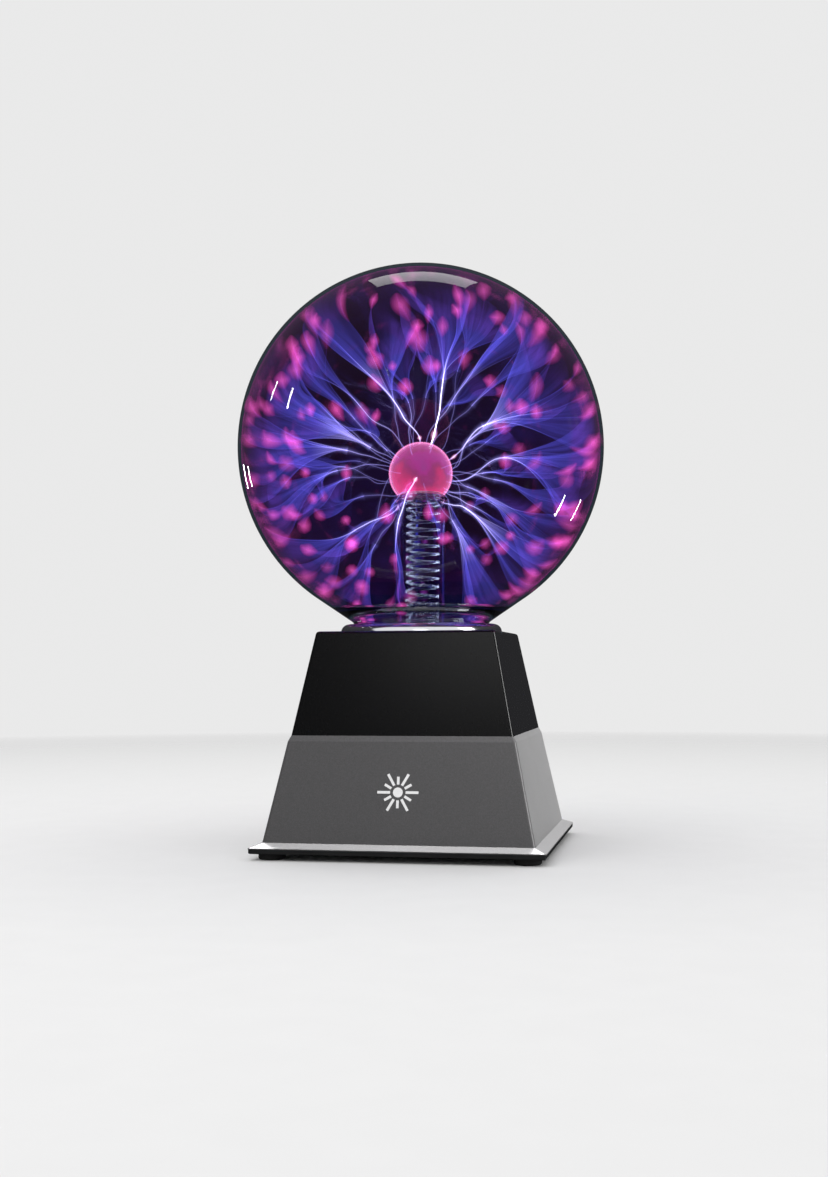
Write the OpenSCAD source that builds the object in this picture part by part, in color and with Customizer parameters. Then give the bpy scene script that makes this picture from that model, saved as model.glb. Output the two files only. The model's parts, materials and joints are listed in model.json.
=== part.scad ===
// Plasma ball lamp: a sealed glass globe with a central electrode, standing on a
// stepped pyramid base that holds the high-voltage driver, its socket and its switch.
// Millimetres. +Z is up, the front faces -Y, and the origin is on the table under the
// centre of the globe.

/* [Globe] */
// Outside diameter of the glass globe
globe_d = 152.4; // [150:0.1:154]
// Wall thickness of the glass
glass_t = 1.8; // [1.4:0.1:2.2]
// Outside radius of the globe's neck
neck_r = 27; // [26:0.1:27]
// Outside radius of the electrode bulb
bulb_r = 13.5; // [12.5:0.1:14.5]
// Height of the electrode bulb's centre below the globe's centre
bulb_drop = 10.6; // [8:0.1:13]
// Outside radius of the glass stem under the bulb
stem_r = 10.1; // [9.8:0.1:10.4]

/* [Spring] */
// Mean radius of the contact spring inside the stem
spring_r = 6.4; // [6:0.1:6.7]
// Radius of the spring's wire
spring_wire_r = 0.65; // [0.5:0.05:0.7]
// Rise of the spring for each full turn
spring_pitch = 3.4; // [2.8:0.1:4.2]
// How far the head of the spring leans to the right of its foot
spring_lean = 1.2; // [0:0.1:1.3]

/* [Base] */
// Overall height, from the table to the top of the globe
total_h = 241.3; // [240:0.1:243]
// Width of the square plinth around the foot of the base
plinth_w = 114.3; // [113:0.1:116]
// Half width of the pyramid where it meets the plinth
foot_half = 52.8; // [52:0.1:53.5]
// Half width of the pyramid at the seam between the grey and the black shell
seam_half = 43.8; // [43.4:0.1:44.2]
// Half width of the flat top
top_half = 35.8; // [35.4:0.1:36.4]
// Height of the seam above the table
seam_z = 47.2; // [46.8:0.1:47.6]
// Height of the flat top above the table
top_z = 88; // [87.6:0.1:88.4]
// Horizontal wall thickness of the two shells
wall = 2.4; // [2.2:0.1:2.6]
// Radius of the pyramid's upright edges
corner_r = 1.2; // [0.8:0.1:1.6]

/* [Switch] */
// Full travel of the three-position slide switch
switch_travel = 4; // [3:0.5:5]

/* [Hidden] */
$fn = 96;

// Small distances used in many places
eps = 0.01;          // overlap that lets a cut pass right through
slip = 0.05;         // radial clearance between a screw or plug and its hole

// Globe
globe_r = globe_d / 2;
globe_z = total_h - globe_r;      // centre of the globe
collar_h = 3.4;                   // height of the collar on the flat top
neck_top_z = top_z + collar_h;    // where the cone under the globe becomes the neck
neck_foot_z = 75.5;               // lower rim of the neck
cone_angle = 36;                  // angle from straight down where the cone leaves the sphere
bulb_z = globe_z - bulb_drop;
bulb_t = 1;                       // wall of the electrode bulb
bulb_cut_z = bulb_z - 9.2;        // plane where the bulb is fused to its stem
stem_t = 1.2;                     // wall of the stem

// Contact spring and what holds it
cup_floor_z = 80;                 // underside of the spring's cup
cup_floor_t = 1;
cup_r = 8.4;
closed_pitch = 1.5;               // rise of the closed turn at each end
spring_foot_z = cup_floor_z + cup_floor_t + spring_wire_r + slip;
open_turns = floor((bulb_cut_z + 2 - spring_foot_z - 2 * closed_pitch) / spring_pitch);
spring_turns = open_turns + 2;
spring_head_z = spring_foot_z + 2 * closed_pitch + open_turns * spring_pitch;
spring_steps = 20;                // rings for each turn
spring_sides = 6;

// Base shells
plate_z = 2.6;                    // underside of the bottom plate
plate_t = 1.8;
rim_z = plate_z + plate_t;        // underside of the plinth
rim_t = 0.4;                      // upright edge of the plinth
foot_z = rim_z + 2.1;             // where the plinth's slope meets the pyramid
band_h = 2.2;                     // height of the bevelled band under the seam
band_inset = 1.1;                 // how far the band leans in over that height
band_z = seam_z - band_h;
band_half = seam_half + band_inset;
plinth_half = plinth_w / 2;
lean_rate = (foot_half - band_half) / (band_z - foot_z); // inward lean for each mm up
lean = atan(lean_rate);           // lean of the grey walls from upright
wall_n = wall * cos(lean);        // true thickness of the grey walls
top_t = 2.6;                      // thickness of the flat top
shelf_t = 2.6;                    // shelf inside the grey shell, under the seam
shelf_half = 31;                  // half width of the opening in the shelf
tongue_h = 2.5;                   // rim that locates the black shell
tongue_half = 40.6;               // half width of that rim's outer face
tongue_t = 1.5;
rib_half_t = 0.8;                 // half thickness of the ribs beside the screw bosses
corner_steps = 8;                 // facets on each rounded upright edge

// Globe seat
seat_r = neck_r + 0.6;            // bore of the seat round the neck
seat_out_r = seat_r + 2.4;
seat_floor_z = 72;
seat_floor_t = 2;
seat_plate_z = 73.5;
seat_plate_t = 2.5;
seat_plate_half = 31.4;
seat_screw_at = 28;

// Screws: [shank radius, head radius, head height]
self_tapper = [1.45, 2.8, 2.2];
pcb_screw = [1.2, 2.6, 1.8];
tiny_screw = [1.0, 1.9, 1.3];
cover_screw_at = 35;
base_screw_at = 42.5;
countersink_h = 1.6;

// Feet
foot_r = 5.2;
foot_at = 49.6;
foot_sink = 0.6;                  // depth of the pocket that each foot is glued in

// Circuit board
pcb_z = 12;
pcb_t = 1.6;
pcb_x = 38;                       // half length
pcb_y = 32;                       // half width
post_x = 33;
post_y = 27;
board = pcb_z + pcb_t;            // top face of the board

// Transformer: an upright ferrite loop with the high-voltage coil on its right leg
core_z = board;
core_h = 40;
core_bar = 8;                     // height of each yoke
core_half_y = 5;
core_left_x = -25;                // axis of the left leg
core_right_x = 4;                 // axis of the right leg
leg_r = 4.2;
bobbin_z = core_z + core_bar + 0.6;
bobbin_h = 22.8;
bobbin_r = 14;
bobbin_bore = leg_r + 0.5;
bobbin_tube_r = bobbin_bore + 1.3;
bobbin_flange_t = 1.4;

// Heat sink and power transistor
sink_x = 26;
sink_t = 2.5;
sink_half_y = 20;
sink_h = 28;
fin_n = 7;
fin_t = 1.4;
fin_step = (2 * sink_half_y - fin_t) / (fin_n - 1);
tab_t = 1.3;                      // thickness of the transistor's metal tab
tab_screw = [1.25, 2.2, 1.6];
tab_hole_z = board + 20;          // height of the transistor's screw
transistor_y = fin_step / 2;      // the transistor sits between two fins

// Rear wall fittings: [distance to the right of the centre, height]
jack_at = [-22, 30];
switch_at = [22, 30];
mic_at = [0, 33];
jack_thread_r = 4;
jack_bore_r = 2.8;
jack_pin_r = 1.05;
jack_flange_t = 1.8;
jack_depth = 9.5;                 // depth of the socket
jack_tail = -12;                  // inner end of the jack, from the wall's outer face
slot_half = 2.3 + switch_travel / 2; // half length of the slider's slot
slot_half_h = 2.1;
switch_screw_at = 10.6;
connector_h = 6;
connector_y = 25;
connector_at = [-22, 4, 19];      // power, microphone and switch headers
connector_pins = [2, 2, 4];
pin_pitch = 2.5;

// Wire routes: chosen points, in the part's frame
wire_r = 0.6;
hv_wire_r = 1.5;
hv_route = [
    [14, 0, bobbin_z + bobbin_h + 0.2], [14, 0, 51], [13, -2, 57],
    [7, -3, 62], [1.5, -1, 66], [0, 0, 70], [0, 0, cup_floor_z - 2 * slip]
];

// ---------------------------------------------------------------- helpers

// Half width of the grey pyramid's outer face at height z
function grey_half(z) = foot_half - (z - foot_z) * lean_rate;

// Half width of the black pyramid's outer face at height z
function black_half(z) =
    seam_half - (z - seam_z) * (seam_half - top_half) / (top_z - seam_z);

// One ring of points round a square with rounded corners
function square_ring(half, r, z) = [
    for (q = [0:3], i = [0:corner_steps])
        let (
            a = q * 90 + i * 90 / corner_steps,
            sx = (q == 0 || q == 3) ? 1 : -1,
            sy = q < 2 ? 1 : -1
        )
        [sx * (half - r) + r * cos(a), sy * (half - r) + r * sin(a), z]
];

// Faces that close a tube of rings, each with m points, from the first to the last.
// The walls are triangles, because the sides of a bent tube are not flat.
function ring_faces(rings, m) = concat(
    [[for (i = [0:m - 1]) i]],
    [[for (i = [0:m - 1]) rings * m - 1 - i]],
    [for (k = [0:rings - 2], i = [0:m - 1])
        let (a = k * m + i, b = k * m + (i + 1) % m)
        each [[a, a + m, b + m], [a, b + m, b]]]
);

// Solid through square rings, each [half width, corner radius, height], from the bottom up
module square_stack(levels) {
    polyhedron(
        [for (l = levels) each square_ring(l[0], l[1], l[2])],
        ring_faces(len(levels), 4 * (corner_steps + 1)),
        convexity = 6
    );
}

function unit(v) = v / norm(v);

// Point on a smooth curve through p[i] and p[i + 1], at share t of the way
function curve_point(p, i, t) =
    let (
        a = p[max(i - 1, 0)], b = p[i], c = p[i + 1], d = p[min(i + 2, len(p) - 1)]
    )
    0.5 * (2 * b + (c - a) * t + (2 * a - 5 * b + 4 * c - d) * t * t
        + (3 * b - a - 3 * c + d) * t * t * t);

// The route as a smooth line with a few steps between its points
function smooth_route(p, steps) = concat(
    [for (i = [0:len(p) - 2], s = [0:steps - 1]) curve_point(p, i, s / steps)],
    [p[len(p) - 1]]
);

// Round wire along a line of points
module wire(points, r, sides = 8) {
    last = len(points) - 1;
    lead = [0.31, 0.89, 0.34];    // a direction that no wire here runs along
    rings = [for (i = [0:last])
        let (
            t = unit(points[min(i + 1, last)] - points[max(i - 1, 0)]),
            u = unit(cross(lead, t)),
            v = cross(t, u)
        )
        each [for (k = [0:sides - 1])
            points[i] + r * (cos(k * 360 / sides) * u + sin(k * 360 / sides) * v)]
    ];
    polyhedron(rings, ring_faces(last + 1, sides), convexity = 6);
}

// Places children on the outer face of the sloping rear wall, with +Z out of the wall
module on_rear_wall(at) {
    translate([at[0], grey_half(at[1]), at[1]]) rotate([lean - 90, 0, 0]) children();
}

// Places children on the sloping front wall, with +Z out of the wall and +Y up it
module on_front_wall(at) {
    translate([at[0], -grey_half(at[1]), at[1]]) rotate([90 - lean, 0, 0]) children();
}

module at_corners(d, dy = undef) {
    for (sx = [-1, 1], sy = [-1, 1])
        translate([sx * d, sy * (is_undef(dy) ? d : dy), 0]) children();
}

module tube(r_out, r_in, z0, z1) {
    translate([0, 0, z0]) difference() {
        cylinder(r = r_out, h = z1 - z0);
        translate([0, 0, -eps]) cylinder(r = r_in, h = z1 - z0 + 2 * eps);
    }
}

module box(x0, x1, y0, y1, z0, z1) {
    translate([x0, y0, z0]) cube([x1 - x0, y1 - y0, z1 - z0]);
}

// Pan-head screw pointing down from the origin, with the head above it
module pan_screw(spec, length) {
    difference() {
        union() {
            cylinder(r = spec[1], h = spec[2] * 0.6, $fn = 48);
            translate([0, 0, spec[2] * 0.6])
                cylinder(r1 = spec[1], r2 = spec[1] * 0.7, h = spec[2] * 0.4, $fn = 48);
            translate([0, 0, -length]) cylinder(r = spec[0], h = length, $fn = 48);
        }
        cross_recess(spec[1] * 0.62, spec[2], spec[2] * 0.55);
    }
}

// Cross-shaped driver recess, cut down from height z
module cross_recess(reach, z, depth) {
    for (turn = [0, 90]) rotate(turn)
        translate([-reach, -reach / 5, z - depth])
            cube([2 * reach, 2 * reach / 5, depth + 1]);
}

// ---------------------------------------------------------------- globe

// Half of the globe's cross-section, filled, for a skin of the given inset
module globe_outline(inset) {
    r = globe_r - inset;
    join = [r * sin(cone_angle), globe_z - r * cos(cone_angle)];
    intersection() {
        union() {
            translate([0, globe_z]) circle(r = r);
            polygon([
                [0, neck_foot_z], [neck_r - inset, neck_foot_z],
                [neck_r - inset, neck_top_z + inset * 0.3], join, [0, join[1]]
            ]);
        }
        translate([0, neck_foot_z]) square([globe_r, total_h]);
    }
}

module globe_envelope() {
    color([0.75, 0.85, 0.95, 0.3]) rotate_extrude() difference() {
        globe_outline(0);
        globe_outline(glass_t);
        translate([-1, neck_foot_z - 1]) square([neck_r - glass_t + 1, 2]);
    }
}

module electrode_stem() {
    in_r = stem_r - stem_t;
    flare_r = neck_r - glass_t - slip;
    lip_z = bulb_cut_z - 1.6;
    color([0.75, 0.85, 0.95, 0.3]) rotate_extrude() polygon([
        [flare_r, neck_foot_z], [flare_r, neck_foot_z + 1.8],
        [stem_r + 2.6, neck_foot_z + 3.2], [stem_r + 0.6, neck_foot_z + 4.4],
        [stem_r, neck_foot_z + 6.4], [stem_r, lip_z - 1.4], [stem_r + 1.1, lip_z - 0.3],
        [stem_r + 1.1, lip_z + 0.3], [stem_r - 0.1, bulb_cut_z],
        [in_r - 0.3, bulb_cut_z], [in_r, lip_z], [in_r, neck_foot_z + 3.4],
        [in_r + 2, neck_foot_z]
    ]);
}

// Open-bottomed spherical shell round the electrode's centre, cut off at a plane
module bulb_shell(r_out, r_in, cut_z) {
    translate([0, 0, bulb_z]) rotate_extrude() intersection() {
        difference() {
            circle(r = r_out);
            circle(r = r_in);
        }
        translate([0, cut_z - bulb_z]) square([r_out + 1, 2 * r_out + 1]);
    }
}

module electrode_bulb() {
    color([0.95, 0.25, 0.45, 0.5]) bulb_shell(bulb_r, bulb_r - bulb_t, bulb_cut_z);
}

module electrode_lining() {
    r = bulb_r - bulb_t - 0.2;
    color([0.9, 0.1, 0.3]) bulb_shell(r, r - 0.4, bulb_cut_z + 1);
}

module exhaust_tip() {
    tip_r = 2.4;
    tip_len = 9;
    color([0.75, 0.85, 0.95, 0.3]) translate([-17.5, 0, neck_foot_z])
        rotate([180, 0, 0]) difference() {
            union() {
                cylinder(r = tip_r, h = tip_len * 0.6);
                translate([0, 0, tip_len * 0.6])
                    cylinder(r1 = tip_r, r2 = 0.7, h = tip_len * 0.4);
            }
            translate([0, 0, -eps]) cylinder(r = tip_r - 0.9, h = tip_len * 0.55);
        }
}

// Crumpled wire wool that presses the spring's current onto the bulb's lining
module steel_wool() {
    r = bulb_r - bulb_t - 0.65;
    foot = spring_head_z + spring_wire_r + slip - bulb_z;
    color([0.6, 0.55, 0.6]) translate([0, 0, bulb_z]) rotate_extrude() intersection() {
        circle(r = r);
        translate([0, foot]) square([r + 1, 2 * r]);
    }
}

// Height of the spring's wire after t turns: its first and last turns are closed
function spring_height(t) =
    t < 1 ? spring_foot_z + t * closed_pitch
    : t < spring_turns - 1 ? spring_foot_z + closed_pitch + (t - 1) * spring_pitch
    : spring_head_z - (spring_turns - t) * closed_pitch;

module hv_spring() {
    steps = spring_turns * spring_steps;
    rings = [for (i = [0:steps])
        let (
            a = i * 360 / spring_steps,
            out = [cos(a), sin(a), 0],
            up = [0, 0, 1],
            z = spring_height(i / spring_steps),
            shift = spring_lean * (z - spring_foot_z) / (spring_head_z - spring_foot_z),
            centre = spring_r * out + [shift, 0, z]
        )
        each [for (k = [0:spring_sides - 1])
            let (b = -k * 360 / spring_sides)
            centre + spring_wire_r * (cos(b) * out + sin(b) * up)]
    ];
    color("silver") polyhedron(rings, ring_faces(steps + 1, spring_sides), convexity = 20);
}

module spring_cup() {
    color("goldenrod") difference() {
        translate([0, 0, cup_floor_z]) cylinder(r = cup_r, h = 4);
        translate([0, 0, cup_floor_z + cup_floor_t]) cylinder(r = cup_r - 0.8, h = 4);
    }
}

module stem_plug() {
    head_z = neck_foot_z - 4;
    color("whitesmoke") difference() {
        union() {
            translate([0, 0, head_z]) cylinder(r = 12, h = 4 - slip);
            translate([0, 0, head_z])
                cylinder(r = stem_r - stem_t - 3 * slip, h = cup_floor_z - head_z);
        }
        translate([0, 0, head_z - eps]) cylinder(r = hv_wire_r + slip, h = 20);
    }
}

// Silvered ring on the flat top, with a round shoulder and a skirt in the top's hole
module globe_collar() {
    foot_ring_r = 33.4;
    shoulder_r = 3.2;
    bore = neck_r + 0.3;
    color("gainsboro") rotate_extrude() union() {
        translate([bore, top_z]) square([foot_ring_r - shoulder_r - bore, collar_h]);
        translate([bore, top_z]) square([foot_ring_r - bore, collar_h - shoulder_r]);
        intersection() {
            translate([foot_ring_r - shoulder_r, neck_top_z - shoulder_r])
                circle(r = shoulder_r);
            translate([bore, top_z]) square([foot_ring_r, collar_h]);
        }
        translate([bore, top_z - 2.8]) square([0.9, 2.8 + eps]);
    }
}

module neck_gasket() {
    color("dimgray") tube(
        neck_r + 0.3, neck_r - 4, seat_floor_z + seat_floor_t, neck_foot_z
    );
}

// Socket under the flat top that carries the globe's neck
module neck_seat() {
    color([0.12, 0.12, 0.12]) difference() {
        union() {
            translate([0, 0, seat_floor_z])
                cylinder(r = seat_out_r, h = top_z - top_t - 0.2 - seat_floor_z);
            square_stack([
                [seat_plate_half, 4, seat_plate_z],
                [seat_plate_half, 4, seat_plate_z + seat_plate_t]
            ]);
        }
        translate([0, 0, seat_floor_z + seat_floor_t]) cylinder(r = seat_r, h = 20);
        translate([0, 0, seat_floor_z - eps]) cylinder(r = neck_r - 4.5, h = 20);
        at_corners(seat_screw_at) translate([0, 0, seat_plate_z - eps])
            cylinder(r = self_tapper[0] + 3 * slip, h = seat_plate_t + 2 * eps);
    }
}

module seat_screws() {
    color("silver") at_corners(seat_screw_at) translate([0, 0, seat_plate_z])
        rotate([180, 0, 0]) pan_screw(self_tapper, 9);
}

// ---------------------------------------------------------------- shells

// Ribs that tie each corner's screw boss to both of its walls
module corner_ribs(at, reach, z0, z1) {
    for (sx = [-1, 1], sy = [-1, 1]) scale([sx, sy, 1]) {
        box(at, reach, at - rib_half_t, at + rib_half_t, z0, z1);
        box(at - rib_half_t, at + rib_half_t, at, reach, z0, z1);
    }
}

// Glossy black upper shell: four sloping walls under a flat top with the neck's hole
module upper_cover() {
    boss_r = 3.2;
    boss_h = 12;
    edge = 0.9;                   // rounding of the top's rim
    rib_z = seam_z + tongue_h + 0.5;
    color([0.03, 0.03, 0.035]) difference() {
        union() {
            difference() {
                square_stack([
                    [seam_half, corner_r, seam_z],
                    [black_half(top_z - edge), corner_r, top_z - edge],
                    [black_half(top_z) - 0.25 * edge, corner_r, top_z - 0.3 * edge],
                    [black_half(top_z) - edge, corner_r, top_z]
                ]);
                square_stack([
                    [seam_half - wall, corner_r, seam_z - 1],
                    [seam_half - wall, corner_r, seam_z],
                    [black_half(top_z - top_t) - wall, corner_r, top_z - top_t]
                ]);
            }
            at_corners(cover_screw_at) translate([0, 0, seam_z])
                cylinder(r = boss_r, h = boss_h);
            at_corners(seat_screw_at)
                translate([0, 0, seat_plate_z + seat_plate_t])
                    cylinder(r = boss_r, h = top_z - seat_plate_z - seat_plate_t - 1);
            corner_ribs(cover_screw_at, 41, rib_z, seam_z + boss_h - 2);
        }
        translate([0, 0, top_z - top_t - eps])
            cylinder(r = neck_r + 1.4, h = top_t + 2 * eps);
        at_corners(cover_screw_at) translate([0, 0, seam_z - eps])
            cylinder(r = self_tapper[0] + slip, h = 10);
        at_corners(seat_screw_at)
            translate([0, 0, seat_plate_z + seat_plate_t - eps])
                cylinder(r = self_tapper[0] + slip, h = 8);
    }
}

// Holes in the rear wall for the socket, the switch and the microphone
module rear_openings() {
    on_rear_wall(jack_at) translate([0, 0, -6]) cylinder(r = jack_thread_r + slip, h = 8);
    on_rear_wall(switch_at) {
        box(-slot_half, slot_half, -slot_half_h, slot_half_h, -6, 2);
        for (s = [-1, 1]) translate([s * switch_screw_at, 0, -6])
            cylinder(r = tiny_screw[0] + slip, h = 8, $fn = 48);
    }
    on_rear_wall(mic_at) {
        translate([0, 0, -6]) cylinder(r = 0.6, h = 8, $fn = 32);
        for (a = [0:60:300]) rotate(a) translate([2.2, 0, -6])
            cylinder(r = 0.6, h = 8, $fn = 32);
    }
}

// Grey lower shell: bevelled plinth, sloping walls, bevelled band and an inner shelf
module lower_housing() {
    boss_r = 3.4;
    boss_h = 16;
    color([0.36, 0.36, 0.38]) difference() {
        union() {
            difference() {
                square_stack([
                    [plinth_half, 0.6, rim_z], [plinth_half, 0.6, rim_z + rim_t],
                    [foot_half, corner_r, foot_z], [band_half, corner_r, band_z],
                    [seam_half, corner_r, seam_z]
                ]);
                square_stack([
                    [grey_half(rim_z) - wall, corner_r, rim_z - 1],
                    [grey_half(rim_z) - wall, corner_r, rim_z],
                    [grey_half(seam_z - shelf_t) - wall, corner_r, seam_z - shelf_t]
                ]);
                square_stack([
                    [shelf_half, 3, seam_z - shelf_t - 1], [shelf_half, 3, seam_z + 1]
                ]);
            }
            difference() {
                square_stack([
                    [tongue_half, corner_r, seam_z - 1],
                    [tongue_half - 0.2, corner_r, seam_z + tongue_h]
                ]);
                square_stack([
                    [tongue_half - tongue_t, corner_r, seam_z - 2],
                    [tongue_half - tongue_t - 0.2, corner_r, seam_z + tongue_h + 1]
                ]);
            }
            at_corners(base_screw_at) translate([0, 0, rim_z])
                cylinder(r = boss_r, h = boss_h);
            corner_ribs(base_screw_at, 50, rim_z + 1, rim_z + boss_h - 3);
        }
        at_corners(cover_screw_at) translate([0, 0, seam_z - shelf_t - 1])
            cylinder(r = self_tapper[0] + 3 * slip, h = shelf_t + 4);
        at_corners(base_screw_at) translate([0, 0, rim_z - eps])
            cylinder(r = self_tapper[0] + slip, h = 12);
        rear_openings();
    }
}

// Thin printed starburst on the front wall
module front_emblem() {
    rays = 12;
    print_t = 0.2;
    ray_w = 1;
    color("white") on_front_wall([0, 26]) linear_extrude(print_t) {
        circle(r = 1.9);
        for (i = [0:rays - 1]) rotate(i * 360 / rays) translate([3, -ray_w / 2])
            square([i % 2 == 0 ? 5 : 3, ray_w]);
    }
}

module cover_screws() {
    color("silver") at_corners(cover_screw_at) translate([0, 0, seam_z - shelf_t])
        rotate([180, 0, 0]) pan_screw(self_tapper, 11);
}

module bottom_plate() {
    half = plinth_half - 0.15;
    slot_w = 2;
    color([0.06, 0.06, 0.06]) difference() {
        union() {
            square_stack([
                [half - 0.3, 0.6, plate_z], [half, 0.6, plate_z + 0.3], [half, 0.6, rim_z]
            ]);
            at_corners(post_x, post_y) translate([0, 0, rim_z - eps])
                cylinder(r = 3, h = pcb_z - rim_z + eps);
        }
        at_corners(post_x, post_y) translate([0, 0, rim_z])
            cylinder(r = pcb_screw[0] + slip, h = pcb_z);
        at_corners(foot_at) translate([0, 0, plate_z - eps])
            cylinder(r = foot_r + slip, h = foot_sink + eps);
        at_corners(base_screw_at) translate([0, 0, plate_z - eps]) {
            cylinder(
                r1 = self_tapper[1] + slip, r2 = self_tapper[0] + slip,
                h = countersink_h + eps
            );
            cylinder(r = self_tapper[0] + slip, h = plate_t + 1);
        }
        for (i = [-3:3]) box(
            i * 5 - slot_w / 2, i * 5 + slot_w / 2, -14, 14, plate_z - 1, rim_z + 1
        );
    }
}

module base_screws() {
    color("dimgray") at_corners(base_screw_at) translate([0, 0, plate_z]) difference() {
        union() {
            cylinder(
                r1 = self_tapper[1], r2 = self_tapper[0], h = countersink_h, $fn = 48
            );
            cylinder(r = self_tapper[0], h = 12, $fn = 48);
        }
        rotate([180, 0, 0]) cross_recess(self_tapper[1] * 0.6, eps, 1.1);
    }
}

// Soft foot with a rounded lower edge, standing in its pocket in the bottom plate
module foot(sx, sy) {
    round_r = 0.9;
    top = plate_z + foot_sink;
    color([0.05, 0.05, 0.05]) translate([sx * foot_at, sy * foot_at, 0])
        rotate_extrude() union() {
            translate([0, round_r]) square([foot_r, top - round_r]);
            square([foot_r - round_r, round_r + eps]);
            translate([foot_r - round_r, round_r]) circle(r = round_r);
        }
}

// ---------------------------------------------------------------- driver board

module main_pcb() {
    color([0.1, 0.35, 0.15]) difference() {
        box(-pcb_x, pcb_x, -pcb_y, pcb_y, pcb_z, board);
        at_corners(post_x, post_y) translate([0, 0, pcb_z - 1])
            cylinder(r = pcb_screw[0] + 0.3, h = pcb_t + 2);
    }
}

module pcb_screws() {
    color("silver") at_corners(post_x, post_y) translate([0, 0, board])
        pan_screw(pcb_screw, 7.5);
}

// One half of the ferrite loop: a yoke and half of each leg
module core_half(z0, z1, leg_z0, leg_z1) {
    box(core_left_x - leg_r, core_right_x + leg_r, -core_half_y, core_half_y, z0, z1);
    for (x = [core_left_x, core_right_x]) translate([x, 0, leg_z0])
        cylinder(r = leg_r, h = leg_z1 - leg_z0);
}

module transformer_core() {
    mid = core_z + core_h / 2;
    gap = 0.2;
    top = core_z + core_h;
    color([0.2, 0.2, 0.22]) {
        core_half(core_z, core_z + core_bar, core_z + 1, mid - gap / 2);
        core_half(top - core_bar, top, mid + gap / 2, top - 1);
    }
}

module transformer_bobbin() {
    color([0.85, 0.82, 0.7]) translate([core_right_x, 0, 0]) {
        difference() {
            union() {
                translate([0, 0, bobbin_z]) cylinder(r = bobbin_tube_r, h = bobbin_h);
                translate([0, 0, bobbin_z]) cylinder(r = bobbin_r, h = bobbin_flange_t);
                translate([0, 0, bobbin_z + bobbin_h - bobbin_flange_t])
                    cylinder(r = bobbin_r, h = bobbin_flange_t);
            }
            translate([0, 0, bobbin_z - 1]) cylinder(r = bobbin_bore, h = bobbin_h + 2);
        }
    }
}

module hv_winding() {
    gap = 0.1;
    z0 = bobbin_z + bobbin_flange_t + gap;
    z1 = bobbin_z + bobbin_h - bobbin_flange_t - gap;
    color([0.35, 0.12, 0.08]) translate([core_right_x, 0, 0])
        tube(bobbin_r - 1, bobbin_tube_r + gap, z0, z1);
}

module primary_winding() {
    turns = 9;
    pitch = 1.6;
    z0 = core_z + core_bar + 5;
    color([0.75, 0.4, 0.2]) translate([core_left_x, 0, 0]) rotate_extrude() union() {
        translate([leg_r + 0.2, z0]) square([1.2, turns * pitch]);
        for (i = [0:turns - 1]) translate([leg_r + 1.4, z0 + (i + 0.5) * pitch])
            circle(r = pitch * 0.45, $fn = 32);
    }
}

module hv_lead() {
    color([0.7, 0.1, 0.1]) wire(smooth_route(hv_route, 3), hv_wire_r, 12);
}

module heat_sink() {
    fin_len = 9;
    color("lightgray") difference() {
        union() {
            box(sink_x, sink_x + sink_t, -sink_half_y, sink_half_y, board, board + sink_h);
            for (i = [0:fin_n - 1]) box(
                sink_x, sink_x + sink_t + fin_len,
                i * fin_step - sink_half_y, i * fin_step - sink_half_y + fin_t,
                board, board + sink_h
            );
        }
        translate([sink_x - 1, transistor_y, tab_hole_z]) rotate([0, 90, 0])
            cylinder(r = tab_screw[0] + slip, h = 6, $fn = 48);
    }
}

// Plastic body, metal tab and three legs of the power transistor
module power_transistor() {
    color([0.15, 0.15, 0.15]) translate([sink_x, transistor_y, board]) difference() {
        union() {
            box(-tab_t, 0, -5, 5, 6, 23);
            box(-4.4, eps - tab_t, -5, 5, 6, 15);
            for (i = [-1:1])
                box(-2.8, -2.3, i * 2.54 - 0.4, i * 2.54 + 0.4, 0, 6 + eps);
        }
        translate([-5, 0, tab_hole_z - board]) rotate([0, 90, 0])
            cylinder(r = tab_screw[0] + slip, h = 8, $fn = 48);
    }
}

module transistor_screw() {
    color("silver") translate([sink_x - tab_t, transistor_y, tab_hole_z])
        rotate([0, -90, 0]) pan_screw(tab_screw, 5);
}

// Three upright cans, each [x, y, radius, height], with a crimp groove near the foot
module electrolytic_capacitors() {
    cans = [[-6, -22, 5, 17], [9, -23, 4, 12], [-20, -22, 3.2, 11]];
    color([0.1, 0.12, 0.3]) for (c = cans) translate([c[0], c[1], board]) difference() {
        cylinder(r = c[2], h = c[3]);
        translate([0, 0, 1.4]) difference() {
            cylinder(r = c[2] + 1, h = 0.8);
            translate([0, 0, -1]) cylinder(r = c[2] - 0.35, h = 3);
        }
        cross_recess(c[2] * 0.7, c[3], 0.25);
    }
}

module film_capacitor() {
    color([0.75, 0.25, 0.1]) {
        box(-35, -22, 16, 22, board + 0.6, board + 11);
        for (x = [-33.5, -23.5]) translate([x, 19, board])
            cylinder(r = 0.35, h = 0.6 + eps, $fn = 24);
    }
}

module control_ic() {
    color([0.1, 0.1, 0.1]) {
        difference() {
            box(-10.8, -1.2, 18.8, 25.2, board + 0.8, board + 4.2);
            translate([-10.8, 22, board + 3.8]) cylinder(r = 0.8, h = 1, $fn = 32);
        }
        for (i = [0:3], side = [-1, 1]) {
            x = -6 + (i - 1.5) * 2.54;
            y = 22 + side * 3.4;
            box(x - 0.25, x + 0.25, y - 0.25, y + 0.25, board, board + 2.4);
        }
    }
}

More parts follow.
